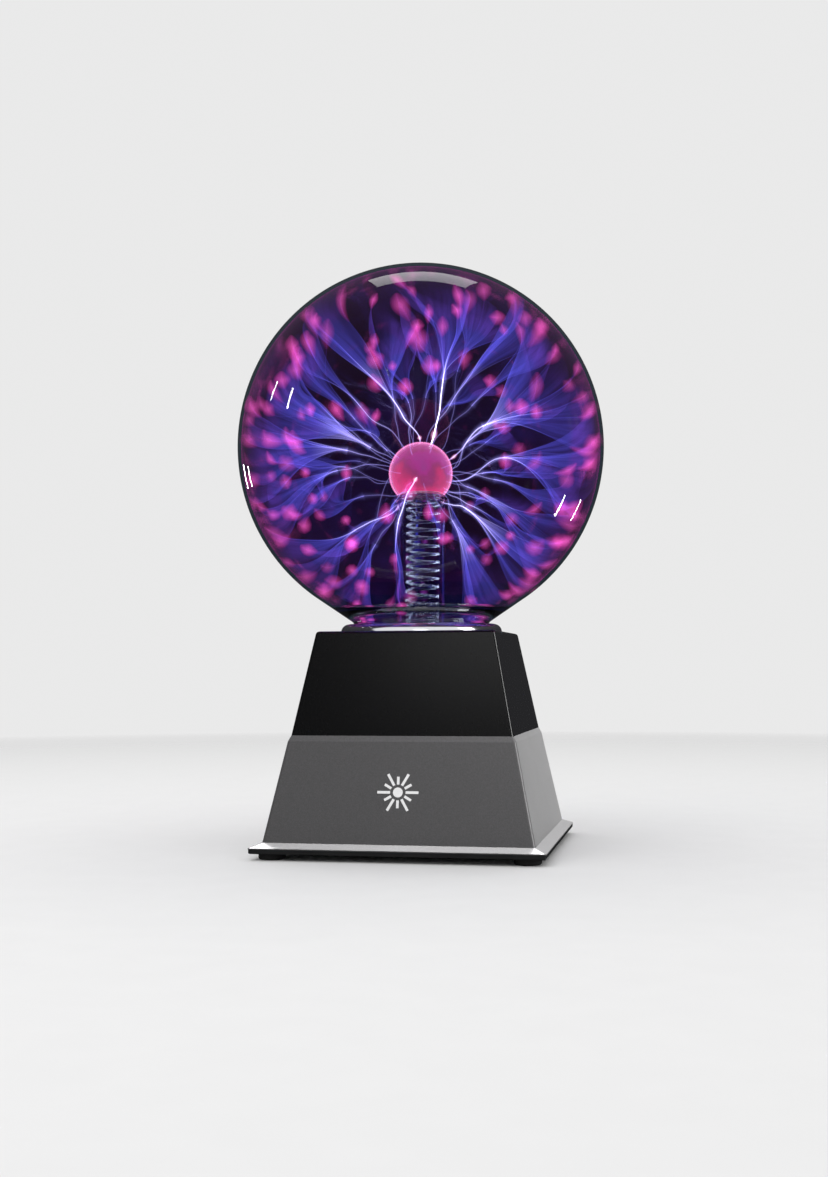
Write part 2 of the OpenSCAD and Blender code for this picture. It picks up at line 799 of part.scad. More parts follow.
// Five axial resistors lying on the board, each with bent legs
module resistors() {
    color([0.75, 0.65, 0.45]) for (i = [0:4]) translate([8 + i * 4, 16.5, board + 1.6]) {
        rotate([-90, 0, 0]) {
            translate([0, 0, -3]) cylinder(r = 1.05, h = 6, $fn = 32);
            for (s = [-1, 1]) translate([0, 0, s * 2.7]) cylinder(
                r = 1.25, h = 1.2, center = true, $fn = 32
            );
            translate([0, 0, -4.2]) cylinder(r = 0.3, h = 8.4, $fn = 24);
        }
        for (s = [-1, 1]) translate([0, s * 3.9, -1.6]) cylinder(r = 0.3, h = 1.6, $fn = 24);
    }
}

module pcb_connectors() {
    color("ivory") for (i = [0:2]) {
        half = (connector_pins[i] * pin_pitch + 2) / 2;
        difference() {
            box(
                connector_at[i] - half, connector_at[i] + half,
                connector_y - 2.9, connector_y + 2.9, board, board + connector_h
            );
            for (k = [0:connector_pins[i] - 1]) translate([
                connector_at[i] + (k - (connector_pins[i] - 1) / 2) * pin_pitch,
                connector_y, board + 2
            ]) cylinder(r = wire_r + 0.2, h = connector_h, $fn = 32);
        }
    }
}

// ---------------------------------------------------------------- rear fittings

// Threaded socket body with a flange outside the wall
module dc_jack_body() {
    color([0.07, 0.07, 0.07]) on_rear_wall(jack_at) difference() {
        union() {
            cylinder(r = 5.6, h = jack_flange_t);
            translate([0, 0, jack_tail]) cylinder(r = jack_thread_r, h = -jack_tail + eps);
        }
        translate([0, 0, jack_flange_t - jack_depth])
            cylinder(r = jack_bore_r, h = jack_depth + 1);
        translate([0, 0, jack_flange_t - 0.5])
            cylinder(r1 = jack_bore_r, r2 = jack_bore_r + 0.6, h = 0.6);
        translate([0, 0, jack_tail - 1]) cylinder(r = jack_pin_r + slip, h = 6);
    }
}

module dc_jack_pin() {
    floor_z = jack_flange_t - jack_depth;
    color("gold") on_rear_wall(jack_at) union() {
        translate([0, 0, jack_tail]) cylinder(r = jack_pin_r, h = -jack_tail + 0.4);
        translate([0, 0, 0.4]) cylinder(r1 = jack_pin_r, r2 = 0.6, h = 0.4);
        translate([0, 0, floor_z]) cylinder(r = jack_pin_r + 0.5, h = 0.5);
    }
}

module dc_jack_nut() {
    color("silver") on_rear_wall(jack_at) translate([0, 0, -wall_n - 2.2]) difference() {
        cylinder(r = 6, h = 2.2, $fn = 6);
        translate([0, 0, -1]) cylinder(r = jack_thread_r + slip, h = 5);
    }
}

// Two solder lugs on the back of the socket, beside the pin's own tail
module dc_jack_terminals() {
    color("silver") on_rear_wall(jack_at) for (s = [-1, 1]) difference() {
        box(s * 2.6 - 1.1, s * 2.6 + 1.1, -0.25, 0.25, jack_tail - 4, jack_tail);
        translate([s * 2.6, 1, jack_tail - 2.6]) rotate([90, 0, 0])
            cylinder(r = 0.5, h = 2, $fn = 24);
    }
}

// Metal can of the slide switch with two fixing ears behind the wall
module mode_switch_frame() {
    color("silver") on_rear_wall(switch_at) difference() {
        union() {
            box(-13, 13, -3.6, 3.6, -3, -wall_n);
            box(-8, 8, -3.6, 3.6, -8.6, -3 + eps);
        }
        box(-7.5, 7.5, -3.1, 3.1, -9, -3);
        box(-slot_half, slot_half, -slot_half_h, slot_half_h, -4, 0);
        for (s = [-1, 1]) translate([s * switch_screw_at, 0, -4])
            cylinder(r = tiny_screw[0] + slip, h = 3, $fn = 48);
    }
}

module mode_switch_base() {
    color([0.45, 0.28, 0.15]) on_rear_wall(switch_at) difference() {
        box(-7.4, 7.4, -3, 3, -8.6, -7.3);
        for (i = [0:3]) box(
            i * 3 - 4.5 - 0.45, i * 3 - 4.5 + 0.45, -0.25, 0.25, -9, -7
        );
    }
}

module mode_switch_terminals() {
    color("silver") on_rear_wall(switch_at) for (i = [0:3]) box(
        i * 3 - 4.5 - 0.4, i * 3 - 4.5 + 0.4, -0.2, 0.2, -11.5, -7.2
    );
}

// Sliding button: a carrier inside the can and a ridged thumb piece outside the wall
module mode_slider() {
    half = 1.8;
    color([0.08, 0.08, 0.08]) on_rear_wall(switch_at) difference() {
        union() {
            box(-3.3, 3.3, -2.8, 2.8, -6.9, -3.3);
            box(-half, half, -1.7, 1.7, -3.3 - eps, 2.6);
        }
        for (i = [-1:1]) box(i * 1.1 - 0.25, i * 1.1 + 0.25, -2, 2, 2.2, 3);
    }
}

module switch_screws() {
    color("silver") on_rear_wall(switch_at) for (s = [-1, 1])
        translate([s * switch_screw_at, 0, 0]) pan_screw(tiny_screw, 4.5);
}

module microphone() {
    color("silver") on_rear_wall(mic_at) difference() {
        translate([0, 0, -8]) cylinder(r = 4.85, h = 5);
        translate([0, 0, -3.3]) difference() {
            cylinder(r = 4.2, h = 1);
            translate([0, 0, -1]) cylinder(r = 2.4, h = 3);
        }
    }
}

module mic_boot() {
    color([0.05, 0.05, 0.05]) on_rear_wall(mic_at) tube(6.4, 4.9, -8, -wall_n);
}

// ---------------------------------------------------------------- wiring

// A point given on the rear wall's own axes, in the part's frame
function rear_point(at, p) = [
    at[0] + p[0],
    grey_half(at[1]) + p[1] * sin(lean) + p[2] * cos(lean),
    at[1] - p[1] * cos(lean) + p[2] * sin(lean)
];

// Lead from a fitting on the rear wall, over in a quarter turn to pin k of header i
function lead_route(at, p, i, k) =
    let (
        a = rear_point(at, p),
        x = connector_at[i] + (k - (connector_pins[i] - 1) / 2) * pin_pitch,
        z = board + connector_h + 0.5
    )
    concat(
        [a],
        [for (t = [0:15:90]) [
            a[0] + (x - a[0]) * (1 - cos(t)),
            a[1] - 1 - (a[1] - 1 - connector_y) * sin(t),
            z + (a[2] - z) * cos(t)
        ]],
        [[x, connector_y, board + 2.2]]
    );

module lead(at, p, i, k) {
    wire(lead_route(at, p, i, k), wire_r);
}

module power_leads() {
    color([0.7, 0.05, 0.05]) for (k = [0, 1])
        lead(jack_at, [(2 * k - 1) * 2.6, 0, jack_tail - 4.1], 0, k);
}

module switch_leads() {
    color([0.9, 0.9, 0.9]) for (k = [0:3])
        lead(switch_at, [k * 3 - 4.5, 0, -11.6], 2, k);
}

module mic_leads() {
    color([0.1, 0.1, 0.1]) for (k = [0, 1])
        lead(mic_at, [(2 * k - 1) * 1.3, 0, -8.1], 1, k);
}

// ---------------------------------------------------------------- nodes

globe_envelope();
electrode_stem();
electrode_bulb();
electrode_lining();
steel_wool();
exhaust_tip();
hv_spring();
spring_cup();
stem_plug();
globe_collar();
neck_gasket();
neck_seat();
seat_screws();
upper_cover();
lower_housing();
front_emblem();
cover_screws();
bottom_plate();
base_screws();
foot(-1, -1);  // foot_front_left
foot(1, -1);  // foot_front_right
foot(-1, 1);  // foot_rear_left
foot(1, 1);  // foot_rear_right
main_pcb();
pcb_screws();
transformer_core();
transformer_bobbin();
hv_winding();
primary_winding();
hv_lead();
heat_sink();
power_transistor();
transistor_screw();
electrolytic_capacitors();
film_capacitor();
control_ic();
resistors();
pcb_connectors();
dc_jack_body();
dc_jack_pin();
dc_jack_nut();
dc_jack_terminals();
mode_switch_frame();
mode_switch_base();
mode_switch_terminals();
mode_slider();
switch_screws();
microphone();
mic_boot();
power_leads();
switch_leads();
mic_leads();
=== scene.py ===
"""Plasma ball lamp: its looks, its glowing gas, and a pale studio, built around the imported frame."""

import json
import math
import random

import bpy
from mathutils import Matrix, Vector


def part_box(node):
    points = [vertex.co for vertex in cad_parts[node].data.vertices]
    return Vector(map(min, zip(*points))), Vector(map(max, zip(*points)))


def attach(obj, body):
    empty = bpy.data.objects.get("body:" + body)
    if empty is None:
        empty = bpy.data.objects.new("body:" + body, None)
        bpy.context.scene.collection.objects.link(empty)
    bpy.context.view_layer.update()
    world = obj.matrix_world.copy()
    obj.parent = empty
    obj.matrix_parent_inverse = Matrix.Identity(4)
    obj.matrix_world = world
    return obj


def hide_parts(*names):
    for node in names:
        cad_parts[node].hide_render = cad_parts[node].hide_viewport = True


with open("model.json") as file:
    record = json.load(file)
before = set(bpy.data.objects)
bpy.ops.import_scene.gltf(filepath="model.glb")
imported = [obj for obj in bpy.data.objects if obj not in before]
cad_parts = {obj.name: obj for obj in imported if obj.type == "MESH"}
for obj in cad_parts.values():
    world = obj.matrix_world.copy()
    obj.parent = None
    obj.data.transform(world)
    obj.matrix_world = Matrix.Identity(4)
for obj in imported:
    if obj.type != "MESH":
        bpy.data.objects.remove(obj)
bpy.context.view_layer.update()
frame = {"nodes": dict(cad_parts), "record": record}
NODES = frame["nodes"]
LAMP = "lamp"
MM = 0.001
scene = bpy.context.scene

# ------------------------------------------------------------------ sizes from the frame

GLOBE_LOW, GLOBE_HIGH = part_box("globe_envelope")
GLOBE_R = (GLOBE_HIGH.x - GLOBE_LOW.x) / 2
GLOBE_C = Vector((0, 0, GLOBE_HIGH.z - GLOBE_R))
NECK_FOOT_Z = GLOBE_LOW.z
COLLAR_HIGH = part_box("globe_collar")[1]
NECK_R = 27 * MM
GLASS_T = 1.1 * MM
GLASS_IOR = 1.47
CONE_ANGLE = math.radians(36)
CONE_BEAD = 1.6 * MM
BULB_LOW, BULB_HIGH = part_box("electrode_bulb")
BULB_R = (BULB_HIGH.x - BULB_LOW.x) / 2
BULB_C = Vector((0, 0, BULB_HIGH.z - BULB_R))
SPRING_LOW, SPRING_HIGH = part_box("hv_spring")
SPRING_WIRE_R = 0.65 * MM
SPRING_R = 6.4 * MM
SPRING_LEAN = SPRING_HIGH.x - SPRING_R - SPRING_WIRE_R
PLINTH_HALF = -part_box("lower_housing")[0].y

# How far the film of painted shade and each layer of gas stay inside the glass.
FILM_GAP = 0.15 * MM
EDGE_GLOW_GAPS = (0.3 * MM, 0.5 * MM)
GAS_GAP = 0.5 * MM


# ------------------------------------------------------------------ node helpers


def new_material(name):
    """A material with only an output node, and its node tree."""
    mat = bpy.data.materials.new(name)
    mat.use_nodes = True
    tree = mat.node_tree
    tree.nodes.clear()
    out = tree.nodes.new("ShaderNodeOutputMaterial")
    return mat, tree, out


def add(tree, kind, **settings):
    """A node of this kind, with its properties and plain input values set by name."""
    node = tree.nodes.new(kind)
    for key, value in settings.items():
        if hasattr(node, key):
            setattr(node, key, value)
        else:
            node.inputs[key.replace("_", " ")].default_value = value
    return node


def math_node(tree, operation, a, b):
    """The output of a Math node, whose inputs are sockets or numbers."""
    node = tree.nodes.new("ShaderNodeMath")
    node.operation = operation
    for socket, value in zip(node.inputs, (a, b)):
        if isinstance(value, bpy.types.NodeSocket):
            tree.links.new(value, socket)
        else:
            socket.default_value = value
    return node.outputs[0]


def coordinates(tree):
    """Object coordinates."""
    return tree.nodes.new("ShaderNodeTexCoord").outputs["Object"]


def blend(tree, share, first, second):
    """A mix of two shaders' outputs; share is how much of the second shows."""
    mix = tree.nodes.new("ShaderNodeMixShader")
    for socket, source in zip(mix.inputs, (share, first, second)):
        tree.links.new(source, socket)
    return mix.outputs[0]


def clear(tree):
    """The output of a shader that lets everything through."""
    return tree.nodes.new("ShaderNodeBsdfTransparent").outputs[0]


def noise(tree, vector, scale, detail=3.0, roughness=0.5):
    """The value of a noise texture."""
    node = add(tree, "ShaderNodeTexNoise", Scale=scale, Detail=detail, Roughness=roughness)
    tree.links.new(vector, node.inputs["Vector"])
    return node.outputs["Fac"]


def spread(tree, value, low, high, start=0.0, end=1.0):
    """The value mapped from start..end to low..high."""
    node = tree.nodes.new("ShaderNodeMapRange")
    for key, number in zip(("From Min", "From Max", "To Min", "To Max"), (start, end, low, high)):
        node.inputs[key].default_value = number
    tree.links.new(value, node.inputs["Value"])
    return node.outputs[0]


def ramp(tree, value, stops):
    """The colour of a ramp with the given (place, colour) stops."""
    node = tree.nodes.new("ShaderNodeValToRGB")
    elements = node.color_ramp.elements
    while len(elements) < len(stops):
        elements.new(0.5)
    for element, (place, colour) in zip(elements, stops):
        element.position = place
        element.color = (*colour, 1)
    tree.links.new(value, node.inputs["Fac"])
    return node.outputs["Color"]


def bump(tree, height, strength, distance=0.1 * MM):
    """A normal bent by this height."""
    node = add(tree, "ShaderNodeBump", Strength=strength, Distance=distance)
    tree.links.new(height, node.inputs["Height"])
    return node.outputs["Normal"]


def solid(name, colour, roughness, metallic=0.0, grain=600.0, vary=0.12, relief=0.05, **extra):
    """A plain painted, moulded or metal surface, with fine grain in its colour, gloss and relief."""
    mat, tree, out = new_material(name)
    shader = add(tree, "ShaderNodeBsdfPrincipled", Metallic=metallic, **extra)
    where = coordinates(tree)
    fine = noise(tree, where, grain, detail=4)
    broad = noise(tree, where, grain / 12, detail=2)
    dark = tuple(c * (1 - vary) for c in colour)
    light = tuple(min(1.0, c * (1 + vary)) for c in colour)
    tree.links.new(ramp(tree, broad, ((0.3, dark), (0.7, light))), shader.inputs["Base Color"])
    rough = spread(tree, broad, roughness * 0.85, min(1.0, roughness * 1.2), 0.3, 0.7)
    tree.links.new(rough, shader.inputs["Roughness"])
    tree.links.new(bump(tree, fine, relief), shader.inputs["Normal"])
    tree.links.new(shader.outputs[0], out.inputs["Surface"])
    return mat


# ------------------------------------------------------------------ materials


def clear_glass(name, tint, edge=(0, 0, 0)):
    """Polished glass that lamps shine through. Edge is what each metre of it takes from each colour."""
    mat, tree, out = new_material(name)
    glass = add(
        tree,
        "ShaderNodeBsdfPrincipled",
        Base_Color=(*tint, 1),
        Roughness=0.0,
        IOR=GLASS_IOR,
        Transmission_Weight=1.0,
    )
    shadow = tree.nodes.new("ShaderNodeLightPath").outputs["Is Shadow Ray"]
    tree.links.new(blend(tree, shadow, glass.outputs[0], clear(tree)), out.inputs["Surface"])
    density = max(edge)
    if density:
        kept = tuple(1 - e / density for e in edge)
        depth = add(tree, "ShaderNodeVolumeAbsorption", Color=(*kept, 1), Density=density)
        tree.links.new(depth.outputs[0], out.inputs["Volume"])
    return mat


def glow(name, strength, fade=2.0, streaks=None):
    """Light added to what is behind it. Glow holds each point's colour, and Across its place in a strip."""
    mat, tree, out = new_material(name)
    colour = add(tree, "ShaderNodeAttribute", attribute_name="Glow").outputs["Color"]
    place = add(tree, "ShaderNodeAttribute", attribute_name="Across").outputs["Vector"]
    parts = tree.nodes.new("ShaderNodeSeparateXYZ")
    tree.links.new(place, parts.inputs[0])
    across = parts.outputs["X"]
    soft = math_node(tree, "SUBTRACT", 1.0, math_node(tree, "MULTIPLY", across, across))
    power = math_node(tree, "MULTIPLY", math_node(tree, "POWER", soft, fade), strength)
    if streaks:
        mapping = tree.nodes.new("ShaderNodeMapping")
        mapping.inputs["Scale"].default_value = streaks
        tree.links.new(place, mapping.inputs["Vector"])
        lines = noise(tree, mapping.outputs[0], 1.0, detail=3, roughness=0.6)
        power = math_node(tree, "MULTIPLY", power, spread(tree, lines, 0.25, 1.9, 0.34, 0.72))
    light = tree.nodes.new("ShaderNodeEmission")
    tree.links.new(colour, light.inputs["Color"])
    tree.links.new(power, light.inputs["Strength"])
    both = tree.nodes.new("ShaderNodeAddShader")
    tree.links.new(light.outputs[0], both.inputs[0])
    tree.links.new(clear(tree), both.inputs[1])
    tree.links.new(both.outputs[0], out.inputs["Surface"])
    return mat


def painted_shade_wall(name):
    """Painted shade on the inside of the globe's far wall: a near black sheet with a faint glowing violet
    haze. Seen from behind, it is clear.
    """
    mat, tree, out = new_material(name)
    cloud = noise(tree, coordinates(tree), 34, detail=3)
    haze = ramp(
        tree,
        cloud,
        ((0.4, (0.0005, 0.0008, 0.006)), (0.6, (0.002, 0.002, 0.022)), (0.8, (0.010, 0.004, 0.045))),
    )
    wall = add(tree, "ShaderNodeBsdfPrincipled", Roughness=0.03, IOR=1.5, Emission_Strength=1.0)
    wall.inputs["Base Color"].default_value = (0.001, 0.001, 0.002, 1)
    tree.links.new(haze, wall.inputs["Emission Color"])
    behind = tree.nodes.new("ShaderNodeNewGeometry").outputs["Backfacing"]
    shadow = tree.nodes.new("ShaderNodeLightPath").outputs["Is Shadow Ray"]
    open_side = math_node(tree, "MAXIMUM", behind, shadow)
    tree.links.new(blend(tree, open_side, wall.outputs[0], clear(tree)), out.inputs["Surface"])
    mat.use_backface_culling = True
    return mat


def edge_glow(name, colour, strength):
    """A thin layer of glowing gas, brightest where it is seen edge on."""
    mat, tree, out = new_material(name)
    light = add(tree, "ShaderNodeEmission", Color=(*colour, 1), Strength=strength)
    tree.links.new(clear(tree), out.inputs["Surface"])
    tree.links.new(light.outputs[0], out.inputs["Volume"])
    return mat


def bulb_glass(name, colour, strength):
    """Thin clear glass that doesn't bend light, with a glow that is brightest where it is seen edge on."""
    mat, tree, out = new_material(name)
    shine = add(tree, "ShaderNodeBsdfGlossy", Roughness=0.03)
    grazing = add(tree, "ShaderNodeFresnel", IOR=GLASS_IOR).outputs[0]
    behind = tree.nodes.new("ShaderNodeNewGeometry").outputs["Backfacing"]
    share = math_node(tree, "MULTIPLY", grazing, math_node(tree, "SUBTRACT", 1.0, behind))
    tree.links.new(blend(tree, share, clear(tree), shine.outputs[0]), out.inputs["Surface"])
    light = add(tree, "ShaderNodeEmission", Color=(*colour, 1), Strength=strength)
    tree.links.new(light.outputs[0], out.inputs["Volume"])
    return mat


def glowing_lining(name):
    """The coating inside the bulb, lit by the discharge: red below, violet halfway and pale on top."""
    mat, tree, out = new_material(name)
    shader = add(tree, "ShaderNodeBsdfPrincipled", Roughness=0.3, Emission_Strength=1.0)
    shader.inputs["Base Color"].default_value = (0.06, 0.004, 0.02, 1)
    where = coordinates(tree)
    parts = tree.nodes.new("ShaderNodeSeparateXYZ")
    tree.links.new(where, parts.inputs[0])
    cloud = noise(tree, where, 80, detail=3)
    height = spread(tree, parts.outputs["Z"], 0, 1, BULB_LOW.z, BULB_HIGH.z)
    shifted = math_node(tree, "ADD", height, spread(tree, cloud, -0.5, 0.5, 0.25, 0.75))
    colour = ramp(
        tree,
        shifted,
        (
            (0.0, (0.6, 0.0, 0.10)),
            (0.26, (0.36, 0.0, 0.06)),
            (0.45, (0.16, 0.0, 0.07)),
            (0.66, (0.26, 0.0, 0.17)),
            (0.84, (0.2, 0.01, 0.17)),
            (1.0, (0.5, 0.16, 0.36)),
        ),
    )
    tree.links.new(colour, shader.inputs["Emission Color"])
    tree.links.new(shader.outputs[0], out.inputs["Surface"])
    return mat


def metallic_paint(name):
    """Satin charcoal paint with fine metal flake."""
    mat, tree, out = new_material(name)
    shader = add(tree, "ShaderNodeBsdfPrincipled", Metallic=0.75, Coat_Weight=0.12, Coat_Roughness=0.3)
    where = coordinates(tree)
    flake = add(tree, "ShaderNodeTexVoronoi", Scale=4200.0)
    tree.links.new(where, flake.inputs["Vector"])
    broad = noise(tree, where, 60, detail=2)
    base = ramp(tree, flake.outputs["Color"], ((0.0, (0.2, 0.198, 0.2)), (1.0, (0.28, 0.275, 0.28))))
    tree.links.new(base, shader.inputs["Base Color"])
    tree.links.new(spread(tree, broad, 0.40, 0.46), shader.inputs["Roughness"])
    tree.links.new(bump(tree, flake.outputs["Distance"], 0.10, 0.05 * MM), shader.inputs["Normal"])
    tree.links.new(shader.outputs[0], out.inputs["Surface"])
    return mat


def piano_black(name):
    """Glossy black moulding with a trace of orange peel."""
    mat, tree, out = new_material(name)
    shader = add(
        tree,
        "ShaderNodeBsdfPrincipled",
        Base_Color=(0.002, 0.002, 0.0022, 1),
        Coat_Weight=0.8,
        Coat_Roughness=0.2,
    )
    where = coordinates(tree)
    haze = noise(tree, where, 700, detail=4)
    peel = noise(tree, where, 160, detail=1)
    tree.links.new(spread(tree, haze, 0.22, 0.3), shader.inputs["Roughness"])
    tree.links.new(bump(tree, peel, 0.02, 0.2 * MM), shader.inputs["Normal"])
    tree.links.new(shader.outputs[0], out.inputs["Surface"])
    return mat


def banded(name, colour, line, pitch, roughness, metallic=0.0, axis="Z"):
    """Close turns of wire or tape: fine rings along an axis."""
    mat, tree, out = new_material(name)
    shader = add(tree, "ShaderNodeBsdfPrincipled", Metallic=metallic, Roughness=roughness)
    where = coordinates(tree)
    wave = add(tree, "ShaderNodeTexWave", bands_direction=axis, Scale=1 / pitch / math.pi, Distortion=0.3)
    tree.links.new(where, wave.inputs["Vector"])
    turns = ramp(tree, wave.outputs["Fac"], ((0.2, line), (0.7, colour)))
    tree.links.new(turns, shader.inputs["Base Color"])
    tree.links.new(bump(tree, wave.outputs["Fac"], 0.6, 0.3 * MM), shader.inputs["Normal"])
    tree.links.new(shader.outputs[0], out.inputs["Surface"])
    return mat


def circuit_board(name):
    """Green solder mask over copper traces, with tinned pads."""
    mat, tree, out = new_material(name)
    shader = add(tree, "ShaderNodeBsdfPrincipled", Roughness=0.3, Coat_Weight=0.3)
    where = coordinates(tree)
    traces = add(tree, "ShaderNodeTexBrick", Scale=90.0, offset=0.5, squash=1.6)
    traces.inputs["Mortar Size"].default_value = 0.035
    tree.links.new(where, traces.inputs["Vector"])
    pads = add(tree, "ShaderNodeTexVoronoi", Scale=190.0)
    tree.links.new(where, pads.inputs["Vector"])
    mask = math_node(tree, "LESS_THAN", pads.outputs["Distance"], 0.16)
    green = ramp(tree, traces.outputs["Fac"], ((0.4, (0.015, 0.13, 0.045)), (0.6, (0.03, 0.24, 0.08))))
    mix = tree.nodes.new("ShaderNodeMix")
    mix.data_type = "RGBA"
    tree.links.new(mask, mix.inputs["Factor"])
    tree.links.new(green, mix.inputs["A"])
    mix.inputs["B"].default_value = (0.62, 0.6, 0.55, 1)
    tree.links.new(mix.outputs["Result"], shader.inputs["Base Color"])
    tree.links.new(mask, shader.inputs["Metallic"])
    tree.links.new(bump(tree, traces.outputs["Fac"], 0.3, 0.05 * MM), shader.inputs["Normal"])
    tree.links.new(shader.outputs[0], out.inputs["Surface"])
    return mat


# ------------------------------------------------------------------ mesh helpers

# Angles on the globe's outline, up from the level: its top, and where the cone meets the ball.
TOP = math.pi / 2
CONE_TOP = CONE_ANGLE - math.pi / 2


def make_piece(name, points, faces, mat, slot=None, replaced=(), **attributes):
    """A mesh piece that rides on the lamp, with optional point attributes of 3 numbers each."""
    mesh = bpy.data.meshes.new(name)
    mesh.from_pydata([tuple(p) for p in points], [], faces)
    for key, values in attributes.items():
        layer = mesh.attributes.new(key, "FLOAT_VECTOR", "POINT")
        layer.data.foreach_set("vector", [x for v in values for x in v])
    mesh.shade_smooth()
    mesh.materials.append(mat)
    mesh.update()
    obj = bpy.data.objects.new(name, mesh)
    scene.collection.objects.link(obj)
    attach(obj, LAMP)
    if replaced:
        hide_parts(*replaced)
    return obj


def arc(height, radius, start, end, steps):
    """Points (r, z) on a circle round a point of the axis; angles in radians from +r towards +z."""
    line = []
    for i in range(steps + 1):
        a = start + (end - start) * i / steps
        on_axis = abs(a - TOP) < 1e-9
        line.append((0.0 if on_axis else radius * math.cos(a), height + radius * math.sin(a)))
    return line


def lathe(name, profile, mat, closed=True, segments=160, **options):
    """A turned piece. The profile is a list of (r, z), and a point on the axis becomes one vertex."""
    points, rows = [], []
    for r, z in profile:
        if r < 1e-7:
            rows.append([len(points)] * segments)
            points.append((0, 0, z))
            continue
        rows.append(list(range(len(points), len(points) + segments)))
        for k in range(segments):
            a = 2 * math.pi * k / segments
            points.append((r * math.cos(a), r * math.sin(a), z))
    faces = []
    pairs = zip(rows, rows[1:] + rows[:1]) if closed else zip(rows, rows[1:])
    for low, high in pairs:
        for k in range(segments):
            n = (k + 1) % segments
            ring = [low[k], low[n], high[n], high[k]]
            face = [v for i, v in enumerate(ring) if v != ring[i - 1]]
            if len(face) > 2:
                faces.append(face)
    return make_piece(name, points, faces, mat, **options)


def grid_faces(first, rows, width, ring=False):
    """Faces between rows of this many points, starting at point first."""
    faces = []
    for i in range(rows - 1):
        for k in range(width if ring else width - 1):
            low, high = first + i * width, first + (i + 1) * width
            after = (k + 1) % width
            faces.append([low + k, low + after, high + after, high + k])
    return faces


def tube_faces(first, rows, sides):
    """The faces of a tube made of rings of points, closed at both ends."""
    last = first + (rows - 1) * sides
    ends = [[first + k for k in range(sides - 1, -1, -1)], [last + k for k in range(sides)]]
    return grid_faces(first, rows, sides, ring=True) + ends


# ------------------------------------------------------------------ glass


def globe_profile(inset, thick=0.0):
    """The globe's skin as (r, z), from the neck's foot up: moved in by inset, with a bead in the cone."""
    bead_end = 0.45
    neck = NECK_R - inset
    ball = arc(GLOBE_C.z, GLOBE_R - inset, CONE_TOP, TOP, 90)
    foot = (neck, COLLAR_HIGH.z + inset * 0.3)
    reach = (ball[0][0] - foot[0], ball[0][1] - foot[1])
    cone = []
    for t in (0.1, 0.2, 0.3, 0.4, 0.5, 0.6, 0.8):
        bead = thick * max(0.0, math.sin(math.pi * t / bead_end))
        cone.append((foot[0] + reach[0] * t - bead * 0.6, foot[1] + reach[1] * t + bead * 0.8))
    return [(neck, NECK_FOOT_Z), (neck, foot[1] - 0.8 * MM), *cone, *ball]


def build_globe(mat):
    """The blown globe with its cone and neck."""
    outer = globe_profile(0.0)
    inner = globe_profile(GLASS_T, thick=CONE_BEAD)
    profile = [*outer, *reversed(inner)]
    return lathe(
        "globe_glass", profile, mat, replaced=("globe_envelope",), slot="clear_glass", segments=192
    )


def build_shade_wall(mat):
    """A dark film just inside the glass, part of the way down the cone: painted shade that darkens the far
    side of the globe.
    """
    down_cone = 0.62
    profile = arc(GLOBE_C.z, GLOBE_R - GLASS_T - FILM_GAP, TOP, CONE_TOP, 64)
    r, z = profile[-1]
    profile.append((r + (NECK_R - r) * down_cone, z + (COLLAR_HIGH.z - z) * down_cone + 0.8 * MM))
    return lathe("painted_shade_far_wall", profile, mat, closed=False, segments=128, slot="clear_glass")


def build_edge_glow(mat):
    """The glow that the streams make together along the inside of the glass."""
    outer_r, inner_r = (GLOBE_R - GLASS_T - gap for gap in EDGE_GLOW_GAPS)
    start = CONE_ANGLE * 1.08 - math.pi / 2
    outer = arc(GLOBE_C.z, outer_r, start, TOP, 64)
    inner = arc(GLOBE_C.z, inner_r, TOP, start, 64)
    lathe("gas_edge_glow", [*outer, *inner], mat, segments=128)


def build_bulb(mat):
    """The bulb of the electrode, cut off level where it meets the stem."""
    inner_r = BULB_R - 0.6 * MM
    depth = BULB_LOW.z - BULB_C.z
    outer = arc(BULB_C.z, BULB_R, math.asin(depth / BULB_R), TOP, 40)
    inner = arc(BULB_C.z, inner_r, TOP, math.asin(depth / inner_r), 40)
    return lathe(
        "electrode_ball",
        [*outer, *inner],
        mat,
        replaced=("electrode_bulb",),
        slot="electrode_glass",
        segments=96,
    )


# ------------------------------------------------------------------ contact spring


def build_spring(mat):
    """The fine helix inside the stem, leaning a little to one side, with closed end turns."""
    per_turn, sides, pitch, shut = 36, 10, 3.4 * MM, 1.5 * MM
    foot = SPRING_LOW.z + SPRING_WIRE_R
    head = SPRING_HIGH.z - SPRING_WIRE_R
    turns = round((head - foot - 2 * shut) / pitch) + 2
    points = []
    for i in range(turns * per_turn + 1):
        t = i / per_turn
        if t < 1:
            z = foot + t * shut
        elif t < turns - 1:
            z = foot + shut + (t - 1) * pitch
        else:
            z = head - (turns - t) * shut
        a = 2 * math.pi * t
        out = Vector((math.cos(a), math.sin(a), 0))
        centre = out * SPRING_R + Vector((SPRING_LEAN * (z - foot) / (head - foot), 0, z))
        for k in range(sides):
            b = 2 * math.pi * k / sides
            points.append(centre + SPRING_WIRE_R * (math.cos(b) * out + math.sin(b) * Vector((0, 0, 1))))
    rings = len(points) // sides
    faces = tube_faces(0, rings, sides)
    return make_piece("contact_spring", points, faces, mat, slot="spring_wire", replaced=("hv_spring",))


# ------------------------------------------------------------------ glowing gas

rng = random.Random(20)
GAS_R = GLOBE_R - GLASS_T - GAS_GAP

# The colours of the streams, for glowing surfaces of strength 1.
WHITE = Vector((0.95, 0.86, 1.0))
LAVENDER = Vector((0.26, 0.22, 0.66))
BLUE = Vector((0.034, 0.031, 0.25))
VIOLET = Vector((0.12, 0.03, 0.32))
MAGENTA = Vector((0.42, 0.018, 0.21))
PINK = Vector((0.80, 0.12, 0.44))

